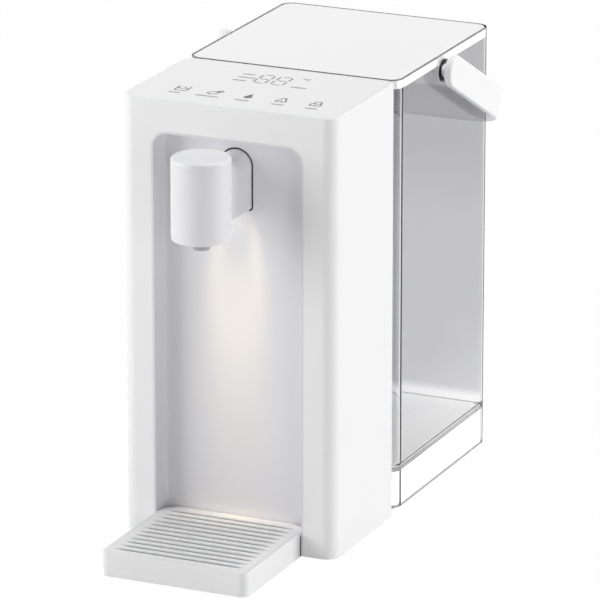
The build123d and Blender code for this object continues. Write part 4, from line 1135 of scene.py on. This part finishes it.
class DISPENSER_OT_stage(bpy.types.Operator):
    """Pale floor, white surround, soft lights, the spout's lamp and the camera"""

    bl_idname = "dispenser.stage"
    bl_label = "Stage"

    def execute(self, context):
        studio = context.scene.dispenser_studio
        context.scene.view_settings.view_transform = "Standard"
        self.floor(studio)
        self.surround(context.scene, studio)
        for name, power, place, size in SOFT_LIGHTS:
            self.soft_light(name, getattr(studio, power), place, size)
        self.spout_lamp(studio, context.scene.dispenser_colours.glow)
        self.camera(context.scene, studio)
        return {"FINISHED"}

    def seen(self, tree):
        """Mask of the rays that show the white surround: camera, glossy and transmission."""
        path = tree.nodes.new("ShaderNodeLightPath")
        mask = math_node(tree, "MAXIMUM", path.outputs["Is Camera Ray"], path.outputs["Is Glossy Ray"])
        return math_node(tree, "MAXIMUM", mask, path.outputs["Is Transmission Ray"])

    def floor(self, studio):
        """Pale floor that shows as white and keeps the shadow."""
        deselect_all()
        bpy.ops.mesh.primitive_plane_add(size=studio.floor_size, location=(0, 0, 0))
        floor = bpy.context.object
        floor.name = "floor"
        material, tree, shader = new_material("floor_pale")
        shader.inputs["Base Color"].default_value = rgba(FLOOR_TONE)
        shader.inputs["Roughness"].default_value = FLOOR_ROUGHNESS
        white = add_node(tree, "ShaderNodeEmission", Color=rgba(WHITE), Strength=1.0)
        share = math_node(tree, "MULTIPLY", self.seen(tree), FLOOR_WHITE_SHARE)
        set_surface(tree, mix_shaders(tree, share, shader.outputs[0], white.outputs[0]))
        floor.data.materials.append(material)

    def surround(self, scene, studio):
        """White all round to look at, and a weak even light on the surfaces."""
        world = bpy.data.worlds.new("surround")
        scene.world = world
        world.use_nodes = True
        tree = world.node_tree
        base = set_inputs(tree.nodes["Background"], {"Color": rgba(WHITE), "Strength": studio.ambient})
        white = add_node(tree, "ShaderNodeBackground", Color=rgba(WHITE), Strength=1.0)
        surface = mix_shaders(tree, self.seen(tree), base.outputs[0], white.outputs[0])
        tree.links.new(surface, tree.nodes["World Output"].inputs["Surface"])

    def area_lamp(self, name, power, shape, size):
        """Lamp with a flat face, not yet placed."""
        data = bpy.data.lights.new(name, "AREA")
        data.energy = power
        data.shape = shape
        data.size = size
        lamp = bpy.data.objects.new(name, data)
        bpy.context.scene.collection.objects.link(lamp)
        return lamp

    def soft_light(self, name, power, place, size):
        """Round soft light turned to the dispenser's middle."""
        light = self.area_lamp(name, power, "DISK", size)
        light.location = place
        aim = Vector(LIGHT_AIM) - Vector(place)
        light.rotation_euler = aim.to_track_quat("-Z", "Y").to_euler()

    def spout_lamp(self, studio, glow):
        """Narrow warm lamp under the spout's lens."""
        lamp = self.area_lamp("spout_lamp", studio.glow_power, "ELLIPSE", LAMP_WIDTH)
        lamp.data.size_y = LAMP_DEPTH
        lamp.data.color = glow
        lamp.data.spread = LAMP_SPREAD
        lamp.location = (0.0, ALCOVE_BACK - LAMP_BACK_GAP - LAMP_DEPTH / 2, LENS_FOOT - LAMP_DROP)
        lamp.rotation_euler = (LAMP_TILT, 0.0, 0.0)

    def camera(self, scene, studio):
        """Camera in the photo's place."""
        data = bpy.data.cameras.new("photo_camera")
        data.lens = studio.camera_lens
        data.sensor_width = SENSOR_WIDTH
        data.clip_end = VIEW_END
        camera = bpy.data.objects.new("photo_camera", data)
        scene.collection.objects.link(camera)
        camera.location = studio.camera_place
        camera.rotation_euler = (math.pi / 2 - studio.camera_tilt, 0.0, studio.camera_turn)
        scene.camera = camera


class DISPENSER_PT_sidebar(bpy.types.Panel):
    """Steps and sizes of the dispenser's looks"""

    bl_idname = "DISPENSER_PT_sidebar"
    bl_label = "Hot Water Dispenser"
    bl_space_type = "VIEW_3D"
    bl_region_type = "UI"
    bl_category = "Dispenser"

    def draw(self, context):
        layout = self.layout
        for step in STEPS:
            layout.operator(step.bl_idname)
        scene = context.scene
        for group in (scene.dispenser_marks, scene.dispenser_colours, scene.dispenser_studio):
            box = layout.box()
            for key in group.__annotations__:
                box.prop(group, key)


STEPS = (
    DISPENSER_OT_housing_finish,
    DISPENSER_OT_spout_finish,
    DISPENSER_OT_tray_finish,
    DISPENSER_OT_tank_finish,
    DISPENSER_OT_works_finish,
    DISPENSER_OT_touch_symbols,
    DISPENSER_OT_readout_digits,
    DISPENSER_OT_caption_bars,
    DISPENSER_OT_stage,
)
CLASSES = (MarkSizes, FinishColours, StudioSettings, *STEPS, DISPENSER_PT_sidebar)


def register():
    """Add the settings, steps and panel to Blender."""
    for cls in CLASSES:
        bpy.utils.register_class(cls)
    bpy.types.Scene.dispenser_marks = PointerProperty(type=MarkSizes)
    bpy.types.Scene.dispenser_colours = PointerProperty(type=FinishColours)
    bpy.types.Scene.dispenser_studio = PointerProperty(type=StudioSettings)


def unregister():
    """Take the settings, steps and panel out again."""
    del bpy.types.Scene.dispenser_studio
    del bpy.types.Scene.dispenser_colours
    del bpy.types.Scene.dispenser_marks
    for cls in reversed(CLASSES):
        bpy.utils.unregister_class(cls)


def main():
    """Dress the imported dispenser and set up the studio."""
    for name in ("Cube", "Light", "Camera"):
        startup = bpy.data.objects.get(name)
        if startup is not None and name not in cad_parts:
            bpy.data.objects.remove(startup)
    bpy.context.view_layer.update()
    register()
    bpy.ops.dispenser.stage()
    bpy.ops.dispenser.housing_finish()
    bpy.ops.dispenser.spout_finish()
    bpy.ops.dispenser.tray_finish()
    bpy.ops.dispenser.tank_finish()
    bpy.ops.dispenser.works_finish()
    bpy.ops.dispenser.touch_symbols()
    bpy.ops.dispenser.readout_digits()
    bpy.ops.dispenser.caption_bars()


if __name__ == "__main__":
    main()
